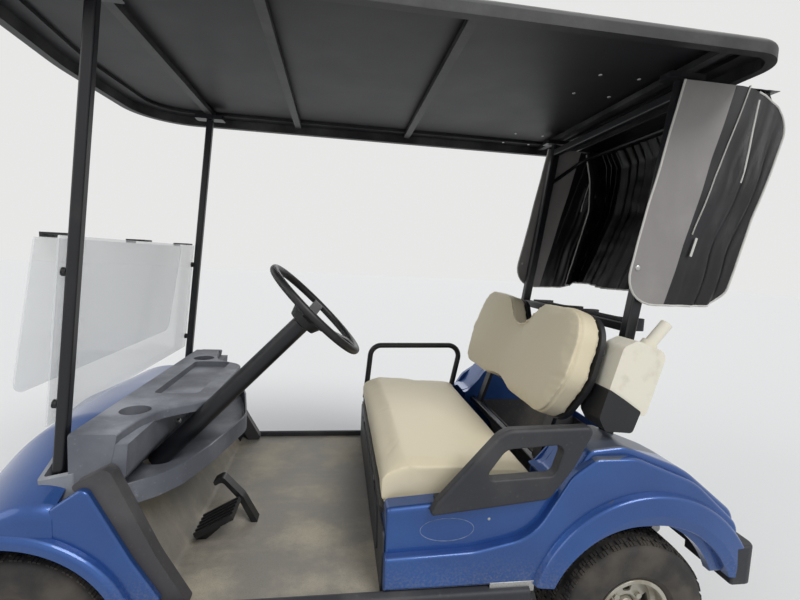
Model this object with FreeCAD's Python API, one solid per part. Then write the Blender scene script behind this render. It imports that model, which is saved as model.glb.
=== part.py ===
"""Two-seat golf cart with a roof, a folded windscreen and a bag cover.

Millimetres. +X forward, +Y to the driver's (left) side, +Z up. The origin is on the ground,
midway between the front bumper and the back of the bag cover, on the centre line.
"""
import FreeCAD, Part
import math
import os

V = FreeCAD.Vector

# Running gear
wheelbase = 1645.0
front_overhang = 383.0        # front axle to the front bumper
rear_overhang = 408.0         # rear axle to the rear bumper
cover_overhang = 490.0        # rear axle to the back of the bag cover
front_track = 870.0
rear_track = 980.0
tyre_radius = 228.0
tyre_width = 215.0
bead_radius = 101.6
flange_height = 9.0
rim_wall = 4.0
seat_gap = 0.3                # gap kept between faces that only rest on each other
pin_gap = 0.1                 # radial clearance of a pin in its bore
kingpin_inset = 75.0          # wheel centre plane to the kingpin, inwards
kingpin_radius = 10.0
spindle_radius = 12.5

overall_length = front_overhang + wheelbase + cover_overhang
front_axle_x = overall_length / 2 - front_overhang
rear_axle_x = front_axle_x - wheelbase
axle_z = tyre_radius
kingpin_y = front_track / 2 - kingpin_inset

# Frame and floor
rail_width = 40.0
rail_height = 44.0
rail_y = 150.0                # centre of each main rail from the centre line
floor_z = 305.0               # top of the floor
floor_thickness = 8.0
body_half_width = 592.0       # over the wheel flares
panel_step = 27.0             # lower side panels, in from the flares
floor_step = 44.0             # floor's edge, in from the flares
upper_step = 52.0             # side panels under the seat, in from the flares
cushion_step = 62.0           # cushion's end, in from those panels
back_step = 70.0              # seat back's end, in from those panels
dash_step = 40.0              # dash's end, in from the floor's edge
post_step = 71.0              # front posts, in from the floor's edge
panel_half_width = body_half_width - panel_step
floor_half_width = body_half_width - floor_step
upper_half_width = body_half_width - upper_step
cushion_half_width = upper_half_width - cushion_step
back_half_width = upper_half_width - back_step
dash_half_width = floor_half_width - dash_step
post_y = floor_half_width - post_step
skin = 5.0                    # wall of the moulded body
rocker_top = 332.0
front_arch_radius = 282.0
rear_arch_radius = 276.0
body_tail = -345.0            # end of the rear body, from the rear axle
bumper_top = 418.0            # top of the rear bumper
bumper_wrap = -314.0          # where the rear bumper's ends begin
toe_top_z = 558.0             # where the toe board meets the dash
spring_y = 265.0              # front coil springs
tower_z = 520.0               # top of the front springs
leaf_y = 250.0                # rear leaf springs

# Seat
seat_front = 742.0            # ahead of the rear axle
seat_rear = 271.0
seat_base_z = 515.0
seat_top_z = 640.0
seat_rim_z = seat_base_z + 35.0   # ledge of the body beside the cushion
pan_thickness = 14.0
back_bottom_z = 748.0
back_height = 372.0           # along its slope
back_lean = 17.4
back_front = 250.0            # lower front edge ahead of the rear axle
back_thickness = 84.0
back_shell = 16.0
hinge_ys = (-260.0, 260.0)
hinge_pin = 4.0

# Roof and posts
roof_side = 125.0             # roof's edge, out from the front posts
roof_half_width = post_y + roof_side
roof_z = 1795.0               # lower edge of the roof's side rim
roof_front = 171.0            # ahead of the front axle
roof_rear = 300.0             # behind the rear axle
roof_rim = 42.0
roof_skin = 5.0
roof_rib_drop = 20.0          # underside of the roof's ribs above its rim
post_size = 28.0
post_foot = (-84.0, 578.0)    # from the front axle, and height
post_head = (-183.0, 1795.0)
screen_step = 19.0            # windscreen's edge, out from the front posts
rear_post_size = 36.0
rear_post_y = 390.0
well_half_width = rear_post_y - 24.0
pod_inner = rear_post_y + 10.0
rear_post_foot = (20.0, 600.0)
rear_post_head = (-138.0, 1795.0)

# Steering
column_angle = 46.0           # of the column above the floor
steering_hub = (-667.9, 250.0, 1012.6)
steering_dish = 52.0          # ring above the hub, along the column
column_length = 628.0         # hub to the column's foot
steering_ring_radius = 178.0
steering_grip = 12.5
rack_x = -105.0
rack_z = 203.0
tie_rod_y = 285.0
pinion_y = 191.0
column_radius = 29.0
lower_shaft = 9.0

# Bag cover and bottle
bow_radius = 8.0
bottle_lean = 15.0
bottle_depth = 140.0
bottle_width = 92.0
bottle_height = 208.0
holder_wall = 5.0
holder_height = 50.0
bottle_foot = (99.0, 826.0)   # lower front corner, from the rear axle


def fx(d):
    return front_axle_x + d


def rx(d):
    return rear_axle_x + d


def corner_edges(points, place):
    """Edges of a closed outline from (u, v, corner radius) rows."""
    count = len(points)
    starts = []
    ends = []
    mids = []
    for i in range(count):
        u, v, r = points[i]
        pu, pv, _ = points[i - 1]
        nu, nv, _ = points[(i + 1) % count]
        a = math.hypot(pu - u, pv - v)
        b = math.hypot(nu - u, nv - v)
        ax, ay = (pu - u) / a, (pv - v) / a
        bx, by = (nu - u) / b, (nv - v) / b
        turn = math.acos(max(-1.0, min(1.0, ax * bx + ay * by)))
        if r <= 0 or abs(math.pi - turn) < 1e-4:
            starts.append((u, v))
            ends.append((u, v))
            mids.append(None)
            continue
        reach = r / math.tan(turn / 2)
        starts.append((u + ax * reach, v + ay * reach))
        ends.append((u + bx * reach, v + by * reach))
        mx, my = ax + bx, ay + by
        m = math.hypot(mx, my)
        far = r / math.sin(turn / 2)
        mids.append((u + mx / m * (far - r), v + my / m * (far - r)))
    edges = []
    for i in range(count):
        if mids[i] is not None:
            edges.append(Part.Arc(place(*starts[i]), place(*mids[i]), place(*ends[i])).toShape())
        j = (i + 1) % count
        if math.hypot(starts[j][0] - ends[i][0], starts[j][1] - ends[i][1]) > 1e-6:
            edges.append(Part.LineSegment(place(*ends[i]), place(*starts[j])).toShape())
    return edges


def outline(points, place):
    return Part.Wire(corner_edges(points, place))


def side_prism(points, y0, y1):
    """Extrude an (x, z, radius) outline across the cart from y0 to y1."""
    wire = outline(points, lambda u, v: V(u, y0, v))
    return Part.Face(wire).extrude(V(0, y1 - y0, 0))


def plan_prism(points, z0, z1):
    wire = outline(points, lambda u, v: V(u, v, z0))
    return Part.Face(wire).extrude(V(0, 0, z1 - z0))


def front_prism(points, x0, x1):
    wire = outline(points, lambda u, v: V(x0, u, v))
    return Part.Face(wire).extrude(V(x1 - x0, 0, 0))


def cross_section(points, x):
    return outline(points, lambda u, v: V(x, u, v))


def box(x0, x1, y0, y1, z0, z1):
    return Part.makeBox(x1 - x0, y1 - y0, z1 - z0, V(x0, y0, z0))


def rod(a, b, radius):
    d = V(*b) - V(*a)
    return Part.makeCylinder(radius, d.Length, V(*a), d)


def mirror_y(shape):
    return shape.mirror(V(0, 0, 0), V(0, 1, 0))


def both_sides(shape):
    return [shape, mirror_y(shape)]


def path_wire(points, bend):
    """A path of straight runs joined by arcs of radius bend."""
    pts = [V(*p) for p in points]
    edges = []
    last = pts[0]
    for i in range(1, len(pts) - 1):
        a = (pts[i - 1] - pts[i]).normalize()
        b = (pts[i + 1] - pts[i]).normalize()
        turn = math.acos(max(-1.0, min(1.0, a.dot(b))))
        reach = bend / math.tan(turn / 2)
        p1 = pts[i] + a * reach
        p2 = pts[i] + b * reach
        m = (a + b).normalize()
        mid = pts[i] + m * (bend / math.sin(turn / 2) - bend)
        edges.append(Part.LineSegment(last, p1).toShape())
        edges.append(Part.Arc(p1, mid, p2).toShape())
        last = p2
    edges.append(Part.LineSegment(last, pts[-1]).toShape())
    return Part.Wire(edges)


def bent_tube(points, bend, radius):
    path = path_wire(points, bend)
    start = V(*points[0])
    direction = V(*points[1]) - start
    ring = Part.Wire([Part.makeCircle(radius, start, direction)])
    return path.makePipeShell([ring], True, True)


def square_bar(a, b, size, corner):
    """A straight square tube from a to b, its sides level with the cart's width."""
    a = V(*a)
    b = V(*b)
    along = (b - a).normalize()
    across = V(0, 1, 0)
    if abs(along.dot(across)) > 0.9:
        across = V(0, 0, 1)
    normal = along.cross(across).normalize()
    across = normal.cross(along).normalize()
    h = size / 2
    rows = [(-h, -h, corner), (h, -h, corner), (h, h, corner), (-h, h, corner)]
    wire = outline(rows, lambda u, v: a + across * u + normal * v)
    return Part.Face(wire).extrude(b - a)


def fuse(shapes):
    result = shapes[0]
    if len(shapes) > 1:
        result = shapes[0].multiFuse(shapes[1:])
    return result.removeSplitter()


def keep(shapes):
    """Several solids that stay separate inside one node."""
    return Part.makeCompound(shapes)


def face_loop(shape, axis, value):
    """Edges of the planar face of a shape at axis = value."""
    found = []
    for face in shape.Faces:
        box_ = face.BoundBox
        low = getattr(box_, axis + "Min")
        high = getattr(box_, axis + "Max")
        if abs(low - value) < 0.01 and abs(high - value) < 0.01:
            found += face.Edges
    return found


def pad(points, y0, y1, round_over):
    """A side panel from y0 out to y1, its outer edge rounded over."""
    slab = side_prism(points, y0, y1)
    return slab.makeFillet(round_over, face_loop(slab, "Y", y1))


def tilt(shape, origin, degrees):
    shape = shape.copy()
    shape.rotate(V(*origin), V(0, 1, 0), degrees)
    return shape


def wheel_profile(points):
    """Revolve (distance across, radius) rows about a wheel's own axis, Y."""
    wire = outline(points, lambda u, v: V(0, u, v))
    return Part.Face(wire).revolve(V(0, 0, 0), V(0, 1, 0), 360)


def make_tyre():
    half = tyre_width / 2
    inner = bead_radius + seat_gap
    bead = half - 18.0 - seat_gap
    wall = 16.0
    lip = bead_radius + flange_height + 1.5
    return wheel_profile([
        (-bead, inner, 3.0), (-bead, lip, 6.0), (-half, tyre_radius - 70.0, 40.0), (-half + 4.0, tyre_radius - 22.0, 14.0),
        (-half + 26.0, tyre_radius - 3.0, 12.0), (0.0, tyre_radius, 0.0), (half - 26.0, tyre_radius - 3.0, 12.0),
        (half - 4.0, tyre_radius - 22.0, 14.0), (half, tyre_radius - 70.0, 40.0), (bead, lip, 6.0), (bead, inner, 3.0),
        (bead - wall, inner, 0.0), (half - wall, tyre_radius - 66.0, 30.0), (half - 32.0, tyre_radius - 18.0, 10.0),
        (-half + 32.0, tyre_radius - 18.0, 10.0), (-half + wall, tyre_radius - 66.0, 30.0), (-bead + wall, inner, 0.0),
    ])


def make_rim(bore):
    """Drop-centre rim with a dished disc, five windows and its wheel nuts, outer side at +Y."""
    half = tyre_width / 2 - 18.0
    flange = bead_radius + flange_height
    barrel = wheel_profile([
        (-half - 6.0, flange, 2.0), (-half, flange, 2.0), (-half, bead_radius, 3.0), (-half + 34.0, bead_radius, 6.0),
        (-half + 46.0, bead_radius - 16.0, 6.0), (half - 46.0, bead_radius - 16.0, 6.0),
        (half - 34.0, bead_radius, 6.0), (half, bead_radius, 3.0), (half, flange, 2.0), (half + 6.0, flange, 2.0),
        (half + 6.0, bead_radius - rim_wall, 4.0), (half - 32.0, bead_radius - rim_wall, 4.0),
        (half - 44.0, bead_radius - 16.0 - rim_wall, 4.0), (-half + 44.0, bead_radius - 16.0 - rim_wall, 4.0),
        (-half + 32.0, bead_radius - rim_wall, 4.0), (-half - 6.0, bead_radius - rim_wall, 2.0),
    ])
    disc_y = half - 40.0
    disc = wheel_profile([
        (disc_y - 6.0, bore, 0.0), (disc_y, bore, 0.0), (disc_y + 6.0, 38.0, 6.0), (disc_y + 6.0, 66.0, 6.0),
        (disc_y + 1.0, bead_radius - 16.5, 0.0), (disc_y - 5.0, bead_radius - 16.5, 0.0), (disc_y, 66.0, 6.0),
        (disc_y, 40.0, 6.0),
    ])
    windows = []
    for i in range(5):
        hole = plan_prism([(-11.0, 48.0, 5.0), (11.0, 48.0, 5.0), (17.0, 76.0, 6.0), (-17.0, 76.0, 6.0)], -60.0, 60.0)
        hole.rotate(V(0, 0, 0), V(1, 0, 0), 90)
        hole.translate(V(0, disc_y, 0))
        hole.rotate(V(0, 0, 0), V(0, 1, 0), 72.0 * i)
        windows.append(hole)
    disc = disc.cut(windows)
    return fuse([barrel, disc])


def make_hub(bore, length, cap):
    """Hub barrel with its flange, four studs' nuts and a dust cap; flange face at y = 0, cap at +Y."""
    body = wheel_profile([
        (-length, bore, 0.0), (0.0, bore, 0.0), (18.0, bore, 0.0), (18.0, 26.0, 3.0), (0.0, 30.0, 0.0),
        (0.0, 62.0, 1.0), (-9.0, 62.0, 1.0), (-9.0, 32.0, 3.0), (-length, 28.0, 0.0),
    ])
    parts = [body]
    for i in range(4):
        angle = math.radians(45.0 + 90.0 * i)
        x = 50.0 * math.sin(angle)
        z = 50.0 * math.cos(angle)
        parts.append(Part.makeCylinder(8.5, 24.0, V(x, -2.0, z), V(0, 1, 0)))
    parts.append(wheel_profile([(18.0, 0.01, 0.0), (18.0, 24.0, 0.0), (18.0 + cap, 20.0, 5.0), (18.0 + cap, 0.01, 0.0)]))
    return fuse(parts)


def placed(shape, x, y, z, side):
    """Copy a wheel part to an axle end; side is 1 on the left and -1 on the right."""
    shape = shape.copy()
    if side < 0:
        shape = mirror_y(shape)
    shape.translate(V(x, y, z))
    return shape


hub_offset = tyre_width / 2 - 18.0 - 40.0 - 6.5     # wheel centre to the hub flange's outer face


def wheels(nodes):
    tyre = make_tyre()
    rim = make_rim(31.0)
    hub = make_hub(spindle_radius + pin_gap, 42.0, 14.0)
    hub.translate(V(0, hub_offset, 0))
    rows = [
        ("front_left", front_axle_x, front_track / 2, 1), ("front_right", front_axle_x, -front_track / 2, -1),
        ("rear_left", rear_axle_x, rear_track / 2, 1), ("rear_right", rear_axle_x, -rear_track / 2, -1),
    ]
    for name, x, y, side in rows:
        nodes["tyre_" + name] = placed(tyre, x, y, axle_z, side)
        nodes["rim_" + name] = keep([placed(rim, x, y, axle_z, side), placed(hub, x, y, axle_z, side)])


def knuckle():
    """Left steering knuckle: a yoke round the beam's eye, its kingpin, spindle and steering arm."""
    ear_gap = 36.0
    ear = 12.0
    top = plan_prism([(-22.0, -22.0, 20.0), (22.0, -22.0, 20.0), (25.0, 36.0, 3.0), (-25.0, 36.0, 3.0)],
                     ear_gap, ear_gap + ear)
    eye_x = rack_x
    eye_y = tie_rod_y - kingpin_y
    arm = plan_prism([(25.0, 36.0, 3.0), (-25.0, 36.0, 3.0), (-24.0, -22.0, 12.0), (eye_x + 30.0, eye_y + 13.0, 20.0),
                      (eye_x - 13.0, eye_y + 13.0, 10.0), (eye_x - 13.0, eye_y - 13.0, 10.0), (eye_x + 45.0, eye_y - 13.0, 30.0),
                      (22.0, -24.0, 14.0)], -ear_gap - ear, -ear_gap)
    web = box(-25.0, 25.0, 24.0, 36.0, -ear_gap - ear, ear_gap + ear)
    pin = Part.makeCylinder(kingpin_radius, 2 * (ear_gap + ear) + 8.0, V(0, 0, -ear_gap - ear - 4.0))
    spindle_end = kingpin_inset + hub_offset + 16.0
    spindle = fuse([rod((0, 30.0, 0), (0, kingpin_inset + hub_offset - 44.0, 0), 19.0),
                    rod((0, 30.0, 0), (0, spindle_end, 0), spindle_radius)])
    shape = fuse([top, arm, web, pin, spindle])
    shape.translate(V(front_axle_x, kingpin_y, axle_z))
    return shape


def front_axle():
    """Box beam with an eye at each end, spring seats and the coil-over towers of the frame."""
    eye = Part.makeCylinder(20.0, 70.0, V(front_axle_x, kingpin_y, axle_z - 35.0))
    bore = Part.makeCylinder(kingpin_radius + pin_gap, 90.0, V(front_axle_x, kingpin_y, axle_z - 45.0))
    beam = box(fx(-22.0), fx(22.0), -kingpin_y + 12.0, kingpin_y - 12.0, axle_z - 22.0, axle_z + 22.0)
    shape = fuse([beam] + both_sides(eye))
    return shape.cut(both_sides(bore))


def coil_over(x, y, low, high):
    """Damper body inside a coil spring, drawn as a ridged sleeve."""
    turns = 8
    seat = 8.0
    pitch = (high - low - 2 * seat) / turns
    rows = [(0.01, low, 0.0), (26.0, low, 0.0), (26.0, low + seat, 0.0)]
    for i in range(turns):
        z = low + seat + pitch * i
        rows += [(21.0, z + pitch * 0.1, 0.0), (27.0, z + pitch * 0.5, 4.0), (21.0, z + pitch * 0.9, 0.0)]
    rows += [(26.0, high - seat, 0.0), (26.0, high, 0.0), (0.01, high, 0.0)]
    wire = outline(rows, lambda u, v: V(u, 0, v))
    shape = Part.Face(wire).revolve(V(0, 0, 0), V(0, 0, 1), 360)
    shape.translate(V(x, y, 0))
    return shape


def frame_rails():
    """Two long rails with cross members, the front tower hoop and the rear kick-up."""
    under_floor = floor_z - floor_thickness - seat_gap
    parts = []
    front_end = front_overhang - 60.0
    rear_end = body_tail + 15.0
    low = under_floor - rail_height
    main = side_prism([
        (fx(front_end), low, 6.0), (fx(front_end), under_floor, 6.0), (rx(520.0), under_floor, 30.0),
        (rx(400.0), under_floor + 70.0, 60.0), (rx(rear_end), under_floor + 70.0, 6.0),
        (rx(rear_end), under_floor + 70.0 - rail_height, 6.0), (rx(420.0), under_floor + 70.0 - rail_height, 60.0),
        (rx(560.0), low, 30.0),
    ], rail_y - rail_width / 2, rail_y + rail_width / 2)
    parts += both_sides(main)
    for x, z in [(fx(250.0), low), (fx(-330.0), low), (rx(700.0), low), (rx(40.0), low + 70.0), (rx(-300.0), low + 70.0)]:
        parts.append(box(x - 20.0, x + 20.0, -rail_y, rail_y, z + 6.0, z + rail_height - 4.0))
    outer = floor_half_width - 30.0
    for x in [fx(-420.0), rx(720.0)]:
        parts.append(box(x - 18.0, x + 18.0, -outer, outer, low + 6.0, under_floor))
    hoop_x = 16.0
    leg = box(fx(-hoop_x), fx(hoop_x), rail_y - 18.0, rail_y + 18.0, under_floor - 2.0, tower_z + 26.0)
    parts += both_sides(leg)
    parts.append(box(fx(-hoop_x), fx(hoop_x), -spring_y - 28.0, spring_y + 28.0, tower_z + seat_gap, tower_z + 26.0))
    for x, eye_top in ((336.0, 276.0 + 17.0), (-306.0, 286.0 + 17.0)):
        hanger = box(rx(x - 16.0), rx(x + 16.0), rail_y - 10.0, leaf_y + 28.0, eye_top + seat_gap, 340.0)
        parts += both_sides(hanger)
    return fuse(parts)


def rear_axle():
    """Axle tube with the gear case and its two spindle ends."""
    half = rear_track / 2
    tube = rod((rear_axle_x, -half + 62.0, axle_z), (rear_axle_x, half - 62.0, axle_z), 34.0)
    shaft_end = half + hub_offset + 16.0
    shaft = rod((rear_axle_x, -shaft_end, axle_z), (rear_axle_x, shaft_end, axle_z), spindle_radius)
    case = side_prism([
        (rx(-95.0), axle_z - 50.0, 40.0), (rx(-95.0), axle_z + 60.0, 40.0), (rx(60.0), axle_z + 80.0, 50.0),
        (rx(150.0), axle_z + 40.0, 40.0), (rx(150.0), axle_z - 60.0, 40.0), (rx(0.0), axle_z - 95.0, 50.0),
    ], -70.0, 70.0)
    return fuse([tube, shaft, case])


def rear_springs():
    """A leaf pack under each side of the axle with its eyes, and an upright damper."""
    y0 = leaf_y
    leaf = side_prism([
        (rx(330.0), 268.0, 0.0), (rx(338.0), 282.0, 0.0), (rx(0.0), axle_z - 34.5, 700.0), (rx(-308.0), 292.0, 0.0),
        (rx(-300.0), 278.0, 0.0), (rx(0.0), axle_z - 58.0, 700.0),
    ], y0 - 25.0, y0 + 25.0)
    pads = [box(rx(-60.0), rx(60.0), y0 - 28.0, y0 + 28.0, axle_z - 62.0, axle_z - 30.0)]
    eyes = [rod((rx(336.0), y0 - 27.0, 276.0), (rx(336.0), y0 + 27.0, 276.0), 17.0),
            rod((rx(-306.0), y0 - 27.0, 286.0), (rx(-306.0), y0 + 27.0, 286.0), 17.0)]
    axle_room = rod((rear_axle_x, y0 - 60.0, axle_z), (rear_axle_x, y0 + 60.0, axle_z), 34.0 + seat_gap)
    shape = fuse([leaf] + pads + eyes).cut(axle_room)
    return keep(both_sides(shape))


def engine_block():
    """The engine, drive belt case and silencer as one plain block under the seat."""
    low = 262.0
    high = 470.0
    half = rail_y - rail_width / 2 - seat_gap
    return side_prism([
        (rx(190.0), low, 20.0), (rx(190.0), high, 30.0), (rx(560.0), high, 30.0), (rx(560.0), low, 20.0),
    ], -half, half)


def pinion_tip():
    return (fx(rack_x) - 24.0, pinion_y, rack_z + 62.0)


def steering_rack():
    """Rack housing on the front rails; the rod that slides in it is a piece of its own."""
    right = -rail_y - 20.0
    left = pinion_y + 22.0
    body = rod((fx(rack_x), right, rack_z), (fx(rack_x), left, rack_z), 21.0)
    pinion = rod((fx(rack_x) + 4.0, pinion_y, rack_z), pinion_tip(), 17.0)
    rail_low = floor_z - floor_thickness - seat_gap - rail_height
    ears = [box(fx(rack_x - 24.0), fx(rack_x + 24.0), s * rail_y - 14.0, s * rail_y + 14.0, rack_z + 8.0, rail_low - seat_gap)
            for s in (-1, 1)]
    shape = fuse([body, pinion] + ears)
    bore = rod((fx(rack_x), right - 5.0, rack_z), (fx(rack_x), left + 5.0, rack_z), 9.0 + seat_gap)
    return shape.cut(bore)


def tie_rods():
    """One bar through the rack housing with a ball end above each steering arm."""
    bar = rod((fx(rack_x), -tie_rod_y, rack_z), (fx(rack_x), tie_rod_y, rack_z), 9.0)
    arm_top = axle_z - 36.0
    ends = []
    for s in (-1, 1):
        ends.append(Part.makeCylinder(13.0, 22.0, V(fx(rack_x), s * tie_rod_y, arm_top + seat_gap)))
    return fuse([bar] + ends)


def lower_shaft_ends():
    """Ends of the shaft from the column's foot to the pinion."""
    angle = math.radians(column_angle)
    reach = column_length - 50.0
    x = fx(steering_hub[0]) + reach * math.cos(angle)
    z = steering_hub[2] - reach * math.sin(angle)
    a = V(x, steering_hub[1], z)
    b = V(*pinion_tip())
    b = b + (a - b).normalize() * 1.5
    return (a.x, a.y, a.z), (b.x, b.y, b.z)


def floor_pan():
    """Floor with the toe board that rises ahead of it, clear of the steered wheels."""
    z0 = floor_z - floor_thickness
    flat_front = -330.0
    floor = plan_prism([
        (rx(seat_front - 18.0), -floor_half_width, 0.0), (fx(flat_front), -floor_half_width, 0.0),
        (fx(flat_front), floor_half_width, 0.0), (rx(seat_front - 18.0), floor_half_width, 0.0),
    ], z0, floor_z)
    toe = side_prism([
        (fx(flat_front) - 1.0, z0, 0.0), (fx(flat_front), z0, 0.0), (fx(-225.0), 464.0, 20.0), (fx(-168.0), toe_top_z, 0.0),
        (fx(-179.5), toe_top_z, 0.0), (fx(-232.0), 474.0, 20.0), (fx(flat_front) - 2.0, floor_z, 20.0), (fx(flat_front) - 30.0, floor_z, 0.0),
        (fx(flat_front) - 30.0, z0, 0.0),
    ], -480.0, 480.0)
    shaft_hole = rod(*lower_shaft_ends(), lower_shaft + 2.0)
    return fuse([floor, toe]).cut(shaft_hole)


def rockers():
    """Dark sill covers along each side of the floor."""
    section = [
        (floor_half_width + seat_gap, 190.0, 8.0), (panel_half_width + 8.0, 190.0, 16.0), (panel_half_width + 20.0, 250.0, 20.0),
        (panel_half_width + 14.0, rocker_top - 10.0, 12.0), (floor_half_width + 2.0, rocker_top, 8.0), (floor_half_width + seat_gap, 300.0, 3.0),
    ]
    rail = front_prism(section, fx(-300.0), rx(318.0))
    return keep(both_sides(rail))


def nose_sections(inset):
    """Stations of the front body, or of its hollow when inset by the wall."""
    # distance ahead of the front axle, half width, sill, shoulder, two points up the side, top
    wide = panel_half_width
    table = [
        (-120.0, wide + 1.0, 300.0, 586.0, 126.0, 654.0, 266.0, 726.0, 745.0),
        (40.0, wide + 7.0, 300.0, 556.0, 142.0, 626.0, 272.0, 688.0, 706.0),
        (150.0, wide - 3.0, 300.0, 466.0, 160.0, 538.0, 290.0, 592.0, 630.0),
        (250.0, wide - 12.0, 300.0, 388.0, 190.0, 445.0, 340.0, 480.0, 496.0),
        (front_overhang - 20.0, wide - 120.0, 300.0, 338.0, 140.0, 354.0, 280.0, 364.0, 370.0),
    ]
    wires = []
    last = len(table) - 1
    for i, (d, half, low, shoulder, in1, z1, in2, z2, top) in enumerate(table):
        w = half - inset
        low -= 8 * inset
        if i == 0:
            d -= 0.1 * inset
        if i == last:
            d -= inset
        r = 14.0 if i == last else 36.0
        wires.append(cross_section([
            (-w, low, 0.0), (w, low, 0.0), (w, shoulder - inset, r), (half - in1, z1 - inset, 50.0),
            (half - in2, z2 - inset, 90.0), (0.0, top - inset, 0.0), (in2 - half, z2 - inset, 90.0),
            (in1 - half, z1 - inset, 50.0), (-w, shoulder - inset, r),
        ], fx(d)))
    return wires


def front_cowl():
    """Blue front body: rounded nose, wheel flares and the sides back to the door opening."""
    outer = Part.makeLoft(nose_sections(0.0), True, False)
    inner = Part.makeLoft(nose_sections(skin), True, False)
    side = pad([
        (fx(-110.0), rocker_top + 1.0, 0.0), (fx(-110.0), 590.0, 10.0), (fx(-188.0), 646.0, 20.0), (fx(-292.0), 450.0, 300.0),
        (fx(-366.0), rocker_top + 1.0, 12.0),
    ], floor_half_width, panel_half_width, 8.0)
    flare = wheel_flare(
        front_axle_x, front_arch_radius, front_arch_radius + 46.0, floor_half_width - 50.0, body_half_width - 6.0)
    shell = outer.cut(inner)
    far = body_half_width + 50.0
    arch = rod((front_axle_x, 180.0, axle_z), (front_axle_x, far, axle_z), front_arch_radius)
    under = [box(fx(-600.0), fx(0.0), -far, far, 0.0, rocker_top + 1.0),
             box(fx(0.0), fx(500.0), -far, far, 0.0, 302.0)]
    parts = [shell] + both_sides(side) + both_sides(flare)
    body = fuse(parts)
    post = front_post(2 * seat_gap)
    body = body.cut(both_sides(arch) + under + both_sides(socket_block(seat_gap)) + both_sides(post))
    return biggest(body)


def biggest(shape):
    """The main solid of a result, without slivers that a cut left."""
    solids = sorted(shape.Solids, key=lambda s: s.Volume)
    return solids[-1]


def wheel_flare(axle_x, inner, outer, y0, y1):
    """Band round a wheel arch, highest at its lip and falling to the body side."""
    profile = outline([
        (y0, inner - 12.0, 0.0), (y1 - 4.0, inner - 12.0, 4.0), (y1, inner + 20.0, 12.0), (y1 - 8.0, outer - 14.0, 12.0),
        (y0 + 6.0, outer, 0.0), (y0, outer, 0.0),
    ], lambda u, v: V(axle_x, u, axle_z + v))
    band = Part.Face(profile).revolve(V(axle_x, 0, axle_z), V(0, 1, 0), 180)
    band.rotate(V(axle_x, 0, axle_z), V(0, 1, 0), -90)
    return band


def hip_line(lift):
    """Side outline of the rear body, its top edge raised by lift."""
    rim = seat_rim_z + lift
    return [
        (rx(727.0), 340.0, 0.0), (rx(727.0), rim, 14.0), (rx(300.0), rim + 34.0, 60.0),
        (rx(215.0) + lift, 606.0 + lift, 50.0), (rx(150.0) + lift, 706.0 + lift, 40.0), (rx(45.0), 716.0 + lift, 60.0),
        (rx(-160.0), 640.0 + lift, 300.0), (rx(-340.0), 500.0 + lift, 60.0), (rx(body_tail), 340.0, 0.0),
    ]


def rear_side():
    """Left half of the blue rear body, outside faces only: two stepped panels and the flare."""
    upper = pad(hip_line(0.0), pod_inner, upper_half_width, 14.0)
    lower = pad([
        (rx(729.0), rocker_top + 1.0, 0.0), (rx(729.0), 425.0, 6.0), (rx(480.0), 434.0, 200.0), (rx(312.0), 470.0, 140.0),
        (rx(212.0), 640.0, 90.0), (rx(140.0), 690.0, 40.0), (rx(20.0), 690.0, 120.0), (rx(-180.0), 610.0, 200.0),
        (rx(-330.0), 480.0, 60.0), (rx(-338.0), rocker_top + 1.0, 0.0),
    ], upper_half_width - skin, panel_half_width, 10.0)
    flare = wheel_flare(
        rx(-40.0), rear_arch_radius + 10.0, rear_arch_radius + 94.0, body_half_width - 47.0, body_half_width)
    return fuse([upper, lower, flare])


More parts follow.
